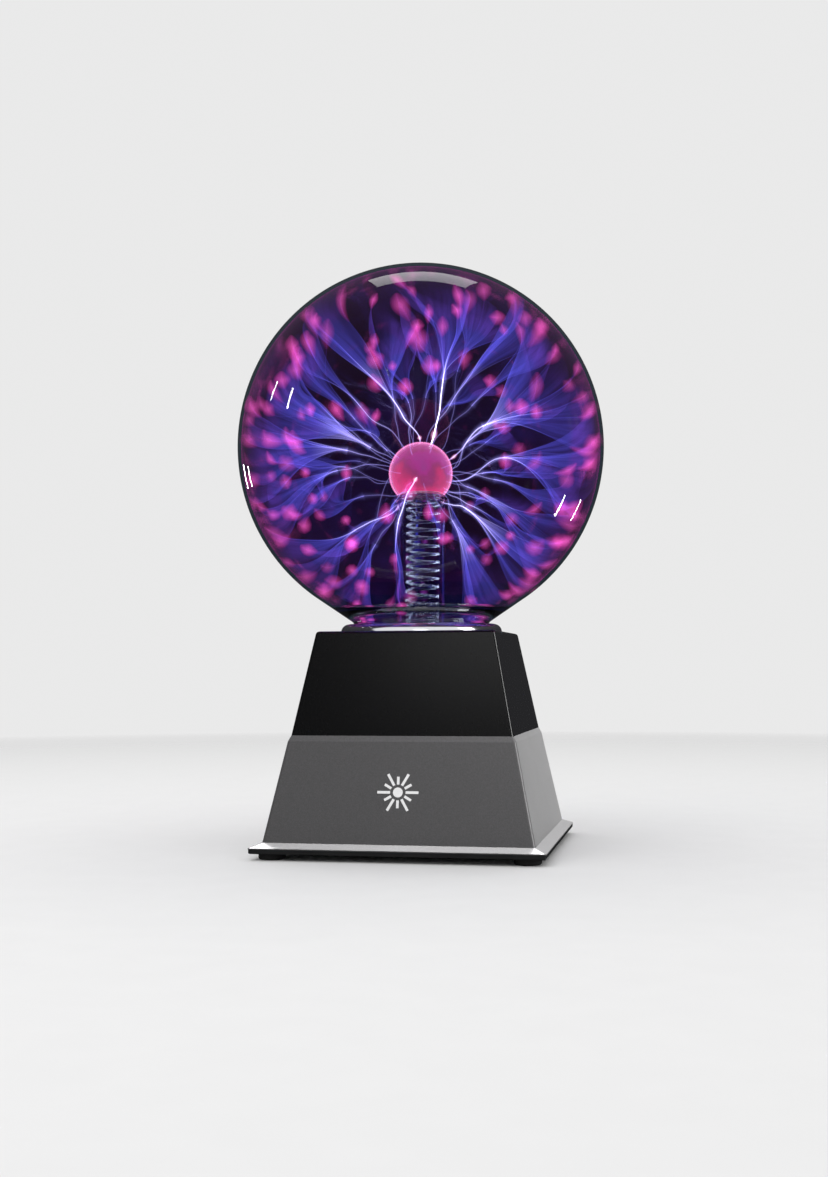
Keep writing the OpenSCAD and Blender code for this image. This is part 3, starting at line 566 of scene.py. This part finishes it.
STRAND_STEPS = 14
BRANCH_STEPS = 24
FULL_TURN = 6.283
DROP_SHELLS = (0.26, 0.46, 0.63, 0.77, 0.89, 1.0)
GOLDEN_ANGLE = 137.5

# The streams are laid out as they look from this side of the globe.
FRONT_TURN = math.radians(11)
FRONT = Vector((math.sin(FRONT_TURN), -math.cos(FRONT_TURN), 0))
SIDE = Vector((0, 0, 1)).cross(FRONT)

# Each fan of streams: its clock angle, its angle from the front, its opening, how hot it is,
# and the angle of its root from the front. Angles are in degrees.
FANS = (
    (8, 97, 32, 1.0, 88),
    (-31, 80, 16, 0.7, 76),
    (-9, 116, 14, 0.1, 120),
    (31, 82, 16, 0.2, 86),
    (48, 104, 26, 0.2, 95),
    (67, 80, 24, 0.55, 70),
    (89, 97, 30, 0.45, 92),
    (112, 64, 14, 0.1, 55),
    (124, 88, 28, 0.6, 80),
    (150, 102, 24, 0.1, 100),
    (190, 62, 14, 0.75, 16),
    (214, 106, 26, 0.1, 90),
    (236, 84, 26, 0.55, 84),
    (261, 100, 22, 0.15, 95),
    (281, 80, 30, 0.2, 78),
    (305, 104, 30, 0.15, 96),
    (320, 70, 14, 0.3, 60),
)


class Light:
    """The points, faces, colours and strip places of one glowing mesh."""

    def __init__(self):
        self.points, self.faces, self.glow, self.across = [], [], [], []

    def add(self, point, glow, across):
        """Adds a point with its colour and its place in the strip."""
        self.points.append(point)
        self.glow.append(glow)
        self.across.append(across)

    def make(self, name, mat):
        """The piece with everything added so far."""
        return make_piece(name, self.points, self.faces, mat, Glow=self.glow, Across=self.across)


def gas_colour(t, hot):
    """Colour of a stream at share t of the way from the electrode to the glass."""
    stops = [
        (0.0, LAVENDER.lerp(WHITE, hot)),
        (0.3, LAVENDER.lerp(WHITE, hot * 0.7)),
        (0.5, BLUE * 1.5),
        (0.74, BLUE * 1.1),
        (0.81, VIOLET),
        (0.87, MAGENTA),
        (0.94, PINK),
        (1.0, MAGENTA),
    ]
    for (start, low), (end, high) in zip(stops, stops[1:]):
        if t <= end:
            return low.lerp(high, (t - start) / (end - start))
    return MAGENTA


def facing(clock, depth):
    """The direction at this clock angle and this angle from the front, in degrees."""
    c, d = math.radians(clock), math.radians(depth)
    return FRONT * math.cos(d) + (SIDE * math.sin(c) + Vector((0, 0, math.cos(c)))) * math.sin(d)


def to_glass(direction):
    """Where a ray from the electrode meets the inside of the globe."""
    d = direction.normalized()
    offset = BULB_C - GLOBE_C
    b = d.dot(offset)
    reach = -b + math.sqrt(b * b - offset.length_squared + GAS_R**2)
    return BULB_C + d * reach


def bezier(p, t):
    """The place at share t of a Bezier curve with these four points."""
    u = 1 - t
    return p[0] * u**3 + p[1] * 3 * u * u * t + p[2] * 3 * u * t * t + p[3] * t**3


def wandering(p, steps, amount):
    """Points on a Bezier curve with a smooth wander that dies away at both ends, kept inside the glass."""
    axis = (p[3] - p[0]).normalized()
    side = axis.orthogonal().normalized()
    other = axis.cross(side)
    waves = [(rng.uniform(1, 4), rng.uniform(0, FULL_TURN), rng.gauss(0, 1)) for _ in range(4)]
    length = (p[3] - p[0]).length
    line = []
    for i in range(steps + 1):
        t = i / steps
        sway = Vector((0, 0, 0))
        for n, (turns, phase, size) in enumerate(waves):
            sway += (side if n % 2 else other) * size * math.sin(turns * math.pi * t + phase)
        place = bezier(p, t) + sway * amount * length * math.sin(math.pi * t)
        out = place - GLOBE_C
        line.append(GLOBE_C + out * min(1.0, GAS_R / out.length))
    return line


def stream(points, start, hot):
    """A stream: its line, how far along the way to the glass it starts, its heat and its drop's size."""
    return {"points": points, "from": start, "hot": hot, "drop": rng.uniform(2.0, 4.0)}


def reach_glass(start, heading, end, share, hot, wander):
    """A branch that meets the glass and creeps up along it before it ends."""
    run = (end - start).length
    out = (end - GLOBE_C).normalized()
    along = (end - start).normalized() * 0.6 + Vector((0, 0, 0.8))
    creep = (along - out * along.dot(out)).normalized() * rng.uniform(8, 15) * MM
    creep += out * rng.uniform(1, 5) * MM
    bends = [start, start + heading * run * 0.4, end - creep, end]
    return stream(wandering(bends, BRANCH_STEPS, wander), share, hot)


def grow_fan(clock, depth, opening, hot, root_depth, fork):
    """Strands that leave the electrode and meet at the fork, and the branches that open out from there."""
    swing = rng.uniform(-24, 24)
    far = to_glass(facing(clock, depth))
    reach = (far - BULB_C).length
    out = facing(clock + swing * 0.6, depth * 0.7 + root_depth * 0.3)
    meet = BULB_C + out * (BULB_R + (reach - BULB_R) * fork)
    heading = (out + (far - meet).normalized()).normalized()
    strands = []
    for k in range(1 if fork > 0.34 else rng.randint(1, 2)):
        away = facing(clock + swing + rng.gauss(0, 12), root_depth + (rng.gauss(0, 12) if k else 0))
        root = BULB_C + away * BULB_R
        run = (meet - root).length
        bends = [root, root + away * run * 0.4, meet - heading * run * 0.35, meet]
        strands.append(stream(wandering(bends, STRAND_STEPS, 0.012), 0.0, hot if k == 0 else 0.0))
    count = max(2, round(opening / 8) + 1)
    best = rng.randint(0, count - 1)
    branches = []
    for k in range(count):
        turn = opening * (k / (count - 1) - 0.5)
        end = to_glass(facing(clock + turn + rng.gauss(0, 2.5), depth + rng.gauss(0, 9)))
        warm = hot * (0.8 if k == best else rng.uniform(0.0, 0.3))
        branches.append(reach_glass(meet, heading, end, fork, warm, 0.014))
    return strands, branches


def frames_along(points):
    """For each point: its place and two steady directions across the line."""
    last = len(points) - 1
    side = None
    for i, p in enumerate(points):
        t = (points[min(i + 1, last)] - points[max(i - 1, 0)]).normalized()
        across = t.orthogonal() if side is None else side - t * side.dot(t)
        side = across.normalized()
        yield p, side, t.cross(side)


def add_core(light, s, until):
    """The thin bright line of a stream, as a fine tapering tube. Only hot ones are bright at the root."""
    sides = 6
    first = len(light.points)
    last_row = len(s["points"]) - 1
    hot = s["hot"]
    for i, (p, a, b) in enumerate(frames_along(s["points"])):
        v = i / last_row
        t = s["from"] + (until - s["from"]) * v
        heat = hot * (hot**3 * (1 - v) + v) if until < 1 else hot * (1 - v) ** 1.5
        radius = (0.19 - 0.08 * t) * (0.85 + 0.6 * hot) * MM
        bright = (1.0 - 0.7 * t) * (0.2 + 1.3 * heat)
        for k in range(sides):
            turn = 2 * math.pi * k / sides
            place = p + (math.cos(turn) * a + math.sin(turn) * b) * radius
            light.add(place, gas_colour(t * 0.8, heat) * bright, (0.0, t, 0.0))
    light.faces += tube_faces(first, len(s["points"]), sides)


def add_sleeve(light, s, until, number):
    """The soft light round a stream, as three crossed strips, widest at the fork."""
    last_row = len(s["points"]) - 1
    for turn in (0.0, math.pi / 3, 2 * math.pi / 3):
        first = len(light.points)
        for i, (p, a, b) in enumerate(frames_along(s["points"])):
            v = i / last_row
            t = s["from"] + (until - s["from"]) * v
            haze = v**2 if until < 1 else math.exp(-v * 7)
            half = (0.6 + 1.7 * haze) * MM
            fade = (0.12 + 0.7 * s["hot"]) * (0.4 + haze)
            out = (math.cos(turn) * a + math.sin(turn) * b) * half
            for x in (-1, 0, 1):
                light.add(p + out * x, gas_colour(t, 0.0) * fade, (x, t * 3, number * 0.37))
        light.faces += grid_faces(first, len(s["points"]), 3)


def along_path(points, share):
    """The place at this share of the way along a line of points."""
    spot = min(max(share, 0.0), 0.9999) * (len(points) - 1)
    low = int(spot)
    return points[low].lerp(points[low + 1], spot - low)


def add_drop(light, path, radius, inside, outside):
    """A soft drop of light along a short path, as closed shells one inside the other."""
    rows, sides = 11, 9
    for size in DROP_SHELLS:
        first = len(light.points)
        line = [along_path(path, 0.55 + size * 0.5 * (i / (rows - 1) * 2 - 1)) for i in range(rows)]
        colour = inside.lerp(outside, size)
        for i, (p, a, b) in enumerate(frames_along(line)):
            share = min(0.97, 0.03 + (i / (rows - 1)) ** 1.2)
            swell = math.sin(math.pi * share) ** 0.7 * radius * size
            for k in range(sides):
                turn = 2 * math.pi * k / sides
                light.add(p + (math.cos(turn) * a + math.sin(turn) * b) * swell, colour, (0, 0, 0))
        light.faces += tube_faces(first, rows, sides)


def add_veil(light, left, right, number):
    """A silky sheet of light hung between two branches, sharp at one edge and fading towards the other."""
    columns = 8
    rows = len(left["points"])
    first = len(light.points)
    strength = rng.uniform(0.35, 0.9)
    curl = rng.uniform(-0.3, 0.3)
    flip = rng.random() < 0.5
    for i in range(rows):
        v = i / (rows - 1)
        t = left["from"] + (1 - left["from"]) * v
        ends = min(1.0, 0.2 + v * 5) * min(1.0, (1 - v) * 4)
        body = ends * (1.0 - 0.3 * v + math.exp(-v * 6)) * strength
        width = right["points"][i] - left["points"][i]
        along = left["points"][min(i + 1, rows - 1)] - left["points"][max(i - 1, 0)]
        lift = width.cross(along.normalized()) * curl
        for k in range(columns + 1):
            u = k / columns
            p = left["points"][i] + width * u + lift * math.sin(math.pi * u)
            out = p - GLOBE_C
            p = GLOBE_C + out * min(1.0, GAS_R / out.length)
            light.add(p, gas_colour(min(t, 0.77), 0.0) * body, (1 - u if flip else u, t, number * 1.7))
    light.faces += grid_faces(first, rows, columns + 1)


def all_fans():
    """The fans that are listed, then smaller ones towards the front and the back."""
    for clock, depth, opening, hot, root_depth in FANS:
        yield clock, depth, opening, hot, root_depth, rng.uniform(0.16, 0.42)
    for k in range(34):
        depth = rng.uniform(24, 66)
        if k % 2:
            depth = 180 - depth
        clock = k * GOLDEN_ANGLE % 360
        if facing(clock, depth).z > -0.75:
            opening, hot = rng.uniform(9, 22), rng.random() ** 5 * 0.4
            yield clock, depth, opening, hot, depth, rng.uniform(0.35, 0.5)


def build_gas():
    """All the streams: cores and sleeves along each, veils between them, and drops at their tips."""
    cores, sleeves, veils, drops = Light(), Light(), Light(), Light()
    number = 0
    for *shape, fork in all_fans():
        strands, branches = grow_fan(*shape, fork)
        for s in strands:
            number += 1
            add_core(cores, s, fork)
            add_sleeve(sleeves, s, fork, number)
            if s["hot"] > 0.5:
                add_drop(drops, s["points"][:4], 1.6 * MM * s["hot"], WHITE * 0.2, PINK * 0.06)
        for s in branches:
            number += 1
            add_core(cores, s, 1.0)
            add_sleeve(sleeves, s, 1.0, number)
            bright = rng.uniform(0.4, 1.2)
            tip = s["points"][-rng.randint(6, 10) :]
            add_drop(drops, tip, s["drop"] * MM, PINK * 0.13 * bright, MAGENTA * 0.07 * bright)
        for left, right in [*zip(branches, branches[1:]), *zip(branches, branches[2:])]:
            number += 1
            add_veil(veils, left, right, number)
    cores.make("plasma_stream_cores", glow("stream_core", 1.2))
    sleeves.make("plasma_stream_glow", glow("stream_glow", 0.4))
    veils.make("plasma_veils", glow("stream_veil", 0.75, fade=1.0, streaks=(4, 1.2, 1)))
    drops.make("plasma_drops", glow("stream_drop", 1.0))


# ------------------------------------------------------------------ build

globe = build_globe(clear_glass("clear_glass", (0.97, 0.98, 0.99), edge=(70, 45, 38)))
# The far wall is a dark film of painted shade that darkens the far side of the globe.
far_wall = build_shade_wall(painted_shade_wall("painted_shade_wall"))
build_edge_glow(edge_glow("edge_glow", (1.0, 0.05, 0.62), 16.0))
ball = build_bulb(bulb_glass("bulb_glass", (1.0, 0.27, 0.62), 250.0))
spring = build_spring(solid("spring_wire", (0.86, 0.88, 0.92), 0.16, metallic=1.0, grain=900, vary=0.04))

build_gas()

# The finish of each material slot of the CAD pieces.
PAINT = {
    "stem_glass": clear_glass("stem_glass", (0.5, 0.56, 0.76)),
    "electrode_coating": glowing_lining("electrode_coating"),
    "wire_wool": solid("wire_wool", (0.6, 0.45, 0.5), 0.4, metallic=1.0, grain=2500, relief=0.8),
    "contact_brass": solid("contact_brass", (0.83, 0.6, 0.24), 0.22, metallic=1.0),
    "white_foam": solid("white_foam", (0.8, 0.79, 0.75), 0.8, relief=0.4),
    "silvered_plastic": solid(
        "silvered_plastic", (0.8, 0.81, 0.84), 0.14, metallic=1.0, vary=0.05, relief=0.01
    ),
    "black_rubber": solid("black_rubber", (0.012, 0.012, 0.012), 0.62, relief=0.25),
    "inner_plastic": solid("inner_plastic", (0.03, 0.03, 0.032), 0.5, relief=0.2),
    "zinc_screw": solid("zinc_screw", (0.6, 0.61, 0.62), 0.3, metallic=1.0),
    "gloss_black": piano_black("gloss_black"),
    "satin_charcoal": metallic_paint("satin_charcoal"),
    "white_print": solid("white_print", (0.86, 0.86, 0.86), 0.45, vary=0.03),
    "matte_black": solid("matte_black", (0.014, 0.015, 0.016), 0.48, grain=1500, relief=0.4),
    "black_screw": solid("black_screw", (0.05, 0.05, 0.055), 0.35, metallic=1.0),
    "circuit_board": circuit_board("circuit_board"),
    "ferrite": solid("ferrite", (0.045, 0.045, 0.05), 0.55, metallic=0.3, grain=1800, relief=0.4),
    "cream_plastic": solid("cream_plastic", (0.72, 0.66, 0.5), 0.45),
    "winding_tape": banded("winding_tape", (0.3, 0.08, 0.03), (0.12, 0.03, 0.015), 0.8 * MM, 0.3),
    "copper_wire": banded("copper_wire", (0.75, 0.3, 0.13), (0.3, 0.1, 0.04), 1.6 * MM, 0.3, metallic=0.9),
    "red_insulation": solid("red_insulation", (0.5, 0.02, 0.02), 0.4),
    "bare_aluminium": solid("bare_aluminium", (0.68, 0.69, 0.7), 0.34, metallic=1.0, grain=900),
    "component_black": solid("component_black", (0.02, 0.02, 0.021), 0.42, relief=0.3),
    "capacitor_sleeve": solid("capacitor_sleeve", (0.02, 0.03, 0.12), 0.28),
    "capacitor_resin": solid("capacitor_resin", (0.5, 0.1, 0.03), 0.25),
    "resistor_lacquer": banded(
        "resistor_lacquer", (0.6, 0.46, 0.28), (0.3, 0.12, 0.05), 1.5 * MM, 0.35, axis="Y"
    ),
    "jack_plastic": solid("jack_plastic", (0.014, 0.014, 0.014), 0.32),
    "tinned_contact": solid("tinned_contact", (0.7, 0.7, 0.71), 0.3, metallic=1.0),
    "switch_can": solid("switch_can", (0.62, 0.63, 0.64), 0.3, metallic=1.0),
    "phenolic": solid("phenolic", (0.2, 0.1, 0.04), 0.5),
    "slider_plastic": solid("slider_plastic", (0.016, 0.016, 0.016), 0.42),
    "microphone_can": solid("microphone_can", (0.66, 0.66, 0.68), 0.3, metallic=1.0),
    "white_insulation": solid("white_insulation", (0.78, 0.78, 0.76), 0.4),
    "black_insulation": solid("black_insulation", (0.014, 0.014, 0.014), 0.4),
}

# How wide the edges of these pieces are rounded.
EDGES = {"lower_housing": 0.25 * MM, "upper_cover": 0.3 * MM, "bottom_plate": 0.15 * MM}
ROUNDED_FROM = math.radians(14)
SHARP_FROM = math.radians(24)


def soften(node, width):
    """Rounds the sharp edges of a CAD piece by a small width."""
    edge = node.modifiers.new("soft_edges", "BEVEL")
    edge.width = width
    edge.segments = 2
    edge.limit_method = "ANGLE"
    edge.angle_limit = ROUNDED_FROM
    edge.harden_normals = True


for row in frame["record"]["subparts"]:
    node = NODES[row["node"]]
    node.data.set_sharp_from_angle(angle=SHARP_FROM)
    if row["node"] in EDGES:
        soften(node, EDGES[row["node"]])
    paint = PAINT.get(row["material_slot"])
    if paint and not node.hide_render:
        node.data.materials.clear()
        node.data.materials.append(paint)

# ------------------------------------------------------------------ camera

CAMERA_AZIMUTH = math.radians(10.94)
CAMERA_YAW = math.radians(11.23)
CAMERA_PITCH = math.radians(3.19)
CAMERA_ROLL = math.radians(-0.25)
CAMERA_DISTANCE = 0.600
CAMERA_HEIGHT = 0.073

camera_data = bpy.data.cameras.new("camera")
camera_data.sensor_width = 36.0
camera_data.lens = 44.07
camera_data.clip_start = 0.01
camera = bpy.data.objects.new("camera", camera_data)
camera.location = (
    CAMERA_DISTANCE * math.sin(CAMERA_AZIMUTH),
    -CAMERA_DISTANCE * math.cos(CAMERA_AZIMUTH),
    CAMERA_HEIGHT,
)
aim = Matrix.Rotation(CAMERA_YAW, 4, "Z") @ Matrix.Rotation(math.pi / 2 + CAMERA_PITCH, 4, "X")
camera.rotation_euler = (aim @ Matrix.Rotation(CAMERA_ROLL, 4, "Z")).to_euler()
scene.collection.objects.link(camera)
scene.camera = camera

# ------------------------------------------------------------------ studio

TOWARD = (camera.location - GLOBE_C).normalized()
RIGHT = Vector((0, 0, 1)).cross(TOWARD).normalized()
UP = TOWARD.cross(RIGHT)
PAPER = (0.86, 0.86, 0.86)
AIR = (0.82, 0.82, 0.82)
PAPER_R = 2.3
FADE_FROM, FADE_TO = 0.22, 1.1
WINDOW_RADIANCE = 26.0
BASE_SLOTS = {"gloss_black", "satin_charcoal", "silvered_plastic", "black_rubber", "matte_black"}

# The windows that the globe reflects: how far each shows right and up from its middle, in shares
# of its radius, and the window's width and height.
WINDOWS = (
    (-0.713, 0.28, 0.015, 0.085),
    (-0.80, 0.316, 0.008, 0.07),
    (-0.96, -0.148, 0.012, 0.05),
    (-0.937, -0.145, 0.012, 0.05),
    (0.766, -0.315, 0.016, 0.085),
    (0.851, -0.342, 0.01, 0.07),
)


def fading_paper(name):
    """Matt pale paper that fades into the air of the studio far from the lamp."""
    mat, tree, out = new_material(name)
    paper = add(tree, "ShaderNodeBsdfPrincipled", Roughness=0.8, Specular_IOR_Level=0.0)
    where = coordinates(tree)
    grain = noise(tree, where, 60, detail=3)
    shade = ramp(tree, grain, ((0.3, tuple(c * 0.985 for c in PAPER)), (0.7, PAPER)))
    tree.links.new(shade, paper.inputs["Base Color"])
    far = tree.nodes.new("ShaderNodeVectorMath")
    far.operation = "LENGTH"
    tree.links.new(where, far.inputs[0])
    gone = spread(tree, far.outputs["Value"], 0, 1, FADE_FROM, FADE_TO)
    tree.links.new(blend(tree, gone, paper.outputs[0], clear(tree)), out.inputs["Surface"])
    return mat


def build_floor():
    """A round sheet of paper under the lamp."""
    rim = [math.radians(a) for a in range(0, 360, 5)]
    points = [(0, 0, 0)] + [(PAPER_R * math.cos(a), PAPER_R * math.sin(a), 0) for a in rim]
    faces = [[0, k, k % (len(points) - 1) + 1] for k in range(1, len(points))]
    mesh = bpy.data.meshes.new("studio_floor")
    mesh.from_pydata(points, [], faces)
    mesh.materials.append(fading_paper("studio_paper"))
    floor = bpy.data.objects.new("studio_floor", mesh)
    floor.visible_glossy = False
    floor.visible_transmission = False
    scene.collection.objects.link(floor)


def behind_reflection(x, y, distance):
    """Where a lamp stands that the globe reflects x right and y up of its middle, in radii."""
    away = (camera.location - GLOBE_C).length
    seen = math.hypot(x, y)
    tilt = math.asin(seen * GLOBE_R / away)
    inward = math.asin(min(1.0, math.sin(tilt) * away / GLOBE_R))
    turn = inward - tilt
    across = (RIGHT * x + UP * y) / seen
    spot = GLOBE_C + GLOBE_R * (TOWARD * math.cos(turn) + across * math.sin(turn))
    ray = TOWARD * math.cos(turn + inward) + across * math.sin(turn + inward)
    return spot + ray * distance


def in_mirror(point, normal, distance):
    """Where a lamp stands that the camera sees mirrored at this point of a face with this normal."""
    look = (point - camera.location).normalized()
    out = normal.normalized()
    return point + (look - 2 * look.dot(out) * out) * distance


def area_light(name, place, target, size, radiance, shine=True, flood=True, only=None, blocked_by=None):
    """A rectangular lamp. With shine it lights polished surfaces, and with flood matt ones. Only is the one
    collection that it lights, and blocked_by the one collection that can stand in its way.
    """
    data = bpy.data.lights.new(name, "AREA")
    data.shape = "RECTANGLE"
    data.size, data.size_y = size
    data.energy = radiance * math.pi * size[0] * size[1]
    light = bpy.data.objects.new(name, data)
    light.location = place
    light.rotation_euler = (Vector(place) - target).to_track_quat("Z", "Y").to_euler()
    light.visible_camera = False
    light.visible_transmission = False
    light.visible_glossy = shine
    light.visible_diffuse = flood
    if only:
        light.light_linking.receiver_collection = only
    if blocked_by:
        light.light_linking.blocker_collection = blocked_by
    scene.collection.objects.link(light)


def collect(name, objects):
    """A collection that holds these objects."""
    group = bpy.data.collections.new(name)
    for obj in objects:
        group.objects.link(obj)
    return group


def pieces(name, slots):
    """A collection of the CAD pieces in these material slots."""
    rows = frame["record"]["subparts"]
    return collect(name, [NODES[row["node"]] for row in rows if row["material_slot"] in slots])


def studio_air():
    """Pale to the camera, soft to matt surfaces, dim to polished ones, and nearly black through glass."""
    world = bpy.data.worlds.new("studio_air")
    world.use_nodes = True
    tree = world.node_tree
    background = tree.nodes["Background"]
    way = tree.nodes.new("ShaderNodeSeparateXYZ")
    tree.links.new(tree.nodes.new("ShaderNodeTexCoord").outputs["Generated"], way.inputs[0])
    high = spread(tree, way.outputs["Z"], 0.0, 1.0, -0.2, 0.8)
    dim = ramp(tree, high, ((0.0, (0.02, 0.02, 0.022)), (1.0, (0.07, 0.07, 0.075))))
    path = tree.nodes.new("ShaderNodeLightPath")
    colour = dim
    for ray, pale in (
        ("Is Transmission Ray", (0.018, 0.042, 0.060)),
        ("Is Diffuse Ray", (0.94, 0.94, 0.94)),
        ("Is Camera Ray", AIR),
    ):
        mix = tree.nodes.new("ShaderNodeMix")
        mix.data_type = "RGBA"
        tree.links.new(path.outputs[ray], mix.inputs["Factor"])
        tree.links.new(colour, mix.inputs["A"])
        mix.inputs["B"].default_value = (*pale, 1)
        colour = mix.outputs["Result"]
    tree.links.new(colour, background.inputs["Color"])
    scene.world = world


def light_globe():
    """A softbox above and behind, a flood in front, and narrow windows at both sides."""
    area_light("top_softbox", behind_reflection(0.014, 0.93, 1.0), GLOBE_C, (0.5, 0.26), 1.7)
    area_light("front_flood", (-0.5, -0.9, 1.0), GLOBE_C, (0.8, 0.8), 1.5, shine=False)
    glass = collect("glassware", (globe, far_wall, ball))
    for number, (x, y, wide, tall) in enumerate(WINDOWS):
        name, place = f"window_{number}", behind_reflection(x, y, 0.5)
        area_light(name, place, GLOBE_C, (wide, tall), WINDOW_RADIANCE, flood=False, only=glass)


def light_base():
    """Softboxes that only light the base, or some of its pieces."""
    base = pieces("base_pieces", BASE_SLOTS)
    middle = Vector((0, 0, 0.05))
    charcoal = pieces("charcoal_pieces", {"satin_charcoal"})
    emblem = pieces("emblem_piece", {"white_print"})
    black = pieces("black_pieces", {"gloss_black"})
    area_light("black_front_softbox", (0.03, -0.8, 0.53), middle, (0.44, 0.3), 0.5, only=black)
    area_light("base_front_softbox", (0.12, -0.8, 0.66), middle, (0.4, 0.2), 3.4, only=charcoal)
    area_light("base_edge_strip", (0.9, -0.15, 0.4), middle, (0.3, 0.5), 6.0, only=base)

    # This lamp shines through the shell above the bevel. Its strength was found by trial.
    bevel = in_mirror(Vector((0.05, -PLINTH_HALF * 0.96, 0.005)), Vector((0, -0.42, 0.9)), 0.6)
    front_edge = Vector((0, -PLINTH_HALF, 0))
    area_light("bevel_softbox", bevel, front_edge, (0.6, 0.2), 21.0, only=charcoal, blocked_by=emblem)

    face = in_mirror(Vector((PLINTH_HALF * 0.86, 0, 0.03)), Vector((1, 0, 0.21)), 0.9)
    right_side = Vector((PLINTH_HALF, 0, 0.03))
    area_light("right_softbox", face, right_side, (0.5, 0.4), 1.15, only=charcoal)


def light_collar():
    """Softboxes that only light the silvered collar."""
    collar = pieces("collar_piece", {"silvered_plastic"})
    lip = Vector((0, 0, COLLAR_HIGH.z))
    area_light("collar_wide_light", FRONT * 0.5 + Vector((0, 0, 0.3)), lip, (2.8, 0.8), 0.85, only=collar)
    area_light("collar_front_light", FRONT * 0.6 + Vector((0, 0, 0.1)), lip, (0.2, 0.3), 1.2, only=collar)
    area_light("collar_top_light", FRONT * 0.1 + Vector((0, 0, 0.6)), lip, (0.5, 0.6), 1.2, only=collar)


def light_spring():
    """The discharge beside the stem, as the spring's wire reflects it."""
    only = collect("spring_only", (spring,))
    middle = Vector((0, 0, 0.095))
    for number, turn in enumerate((-118, 118)):
        place = middle + Matrix.Rotation(math.radians(turn), 3, "Z") @ FRONT * 0.03
        name = f"spring_light_{number}"
        area_light(name, place, middle, (0.007, 0.09), 260.0, flood=False, only=only)


build_floor()
studio_air()
light_globe()
light_base()
light_collar()
light_spring()

# ------------------------------------------------------------------ sizes and end

scene.view_settings.view_transform = "Standard"
scene.cycles.transparent_max_bounces = 128
scene.cycles.use_denoising = True

bpy.context.view_layer.update()
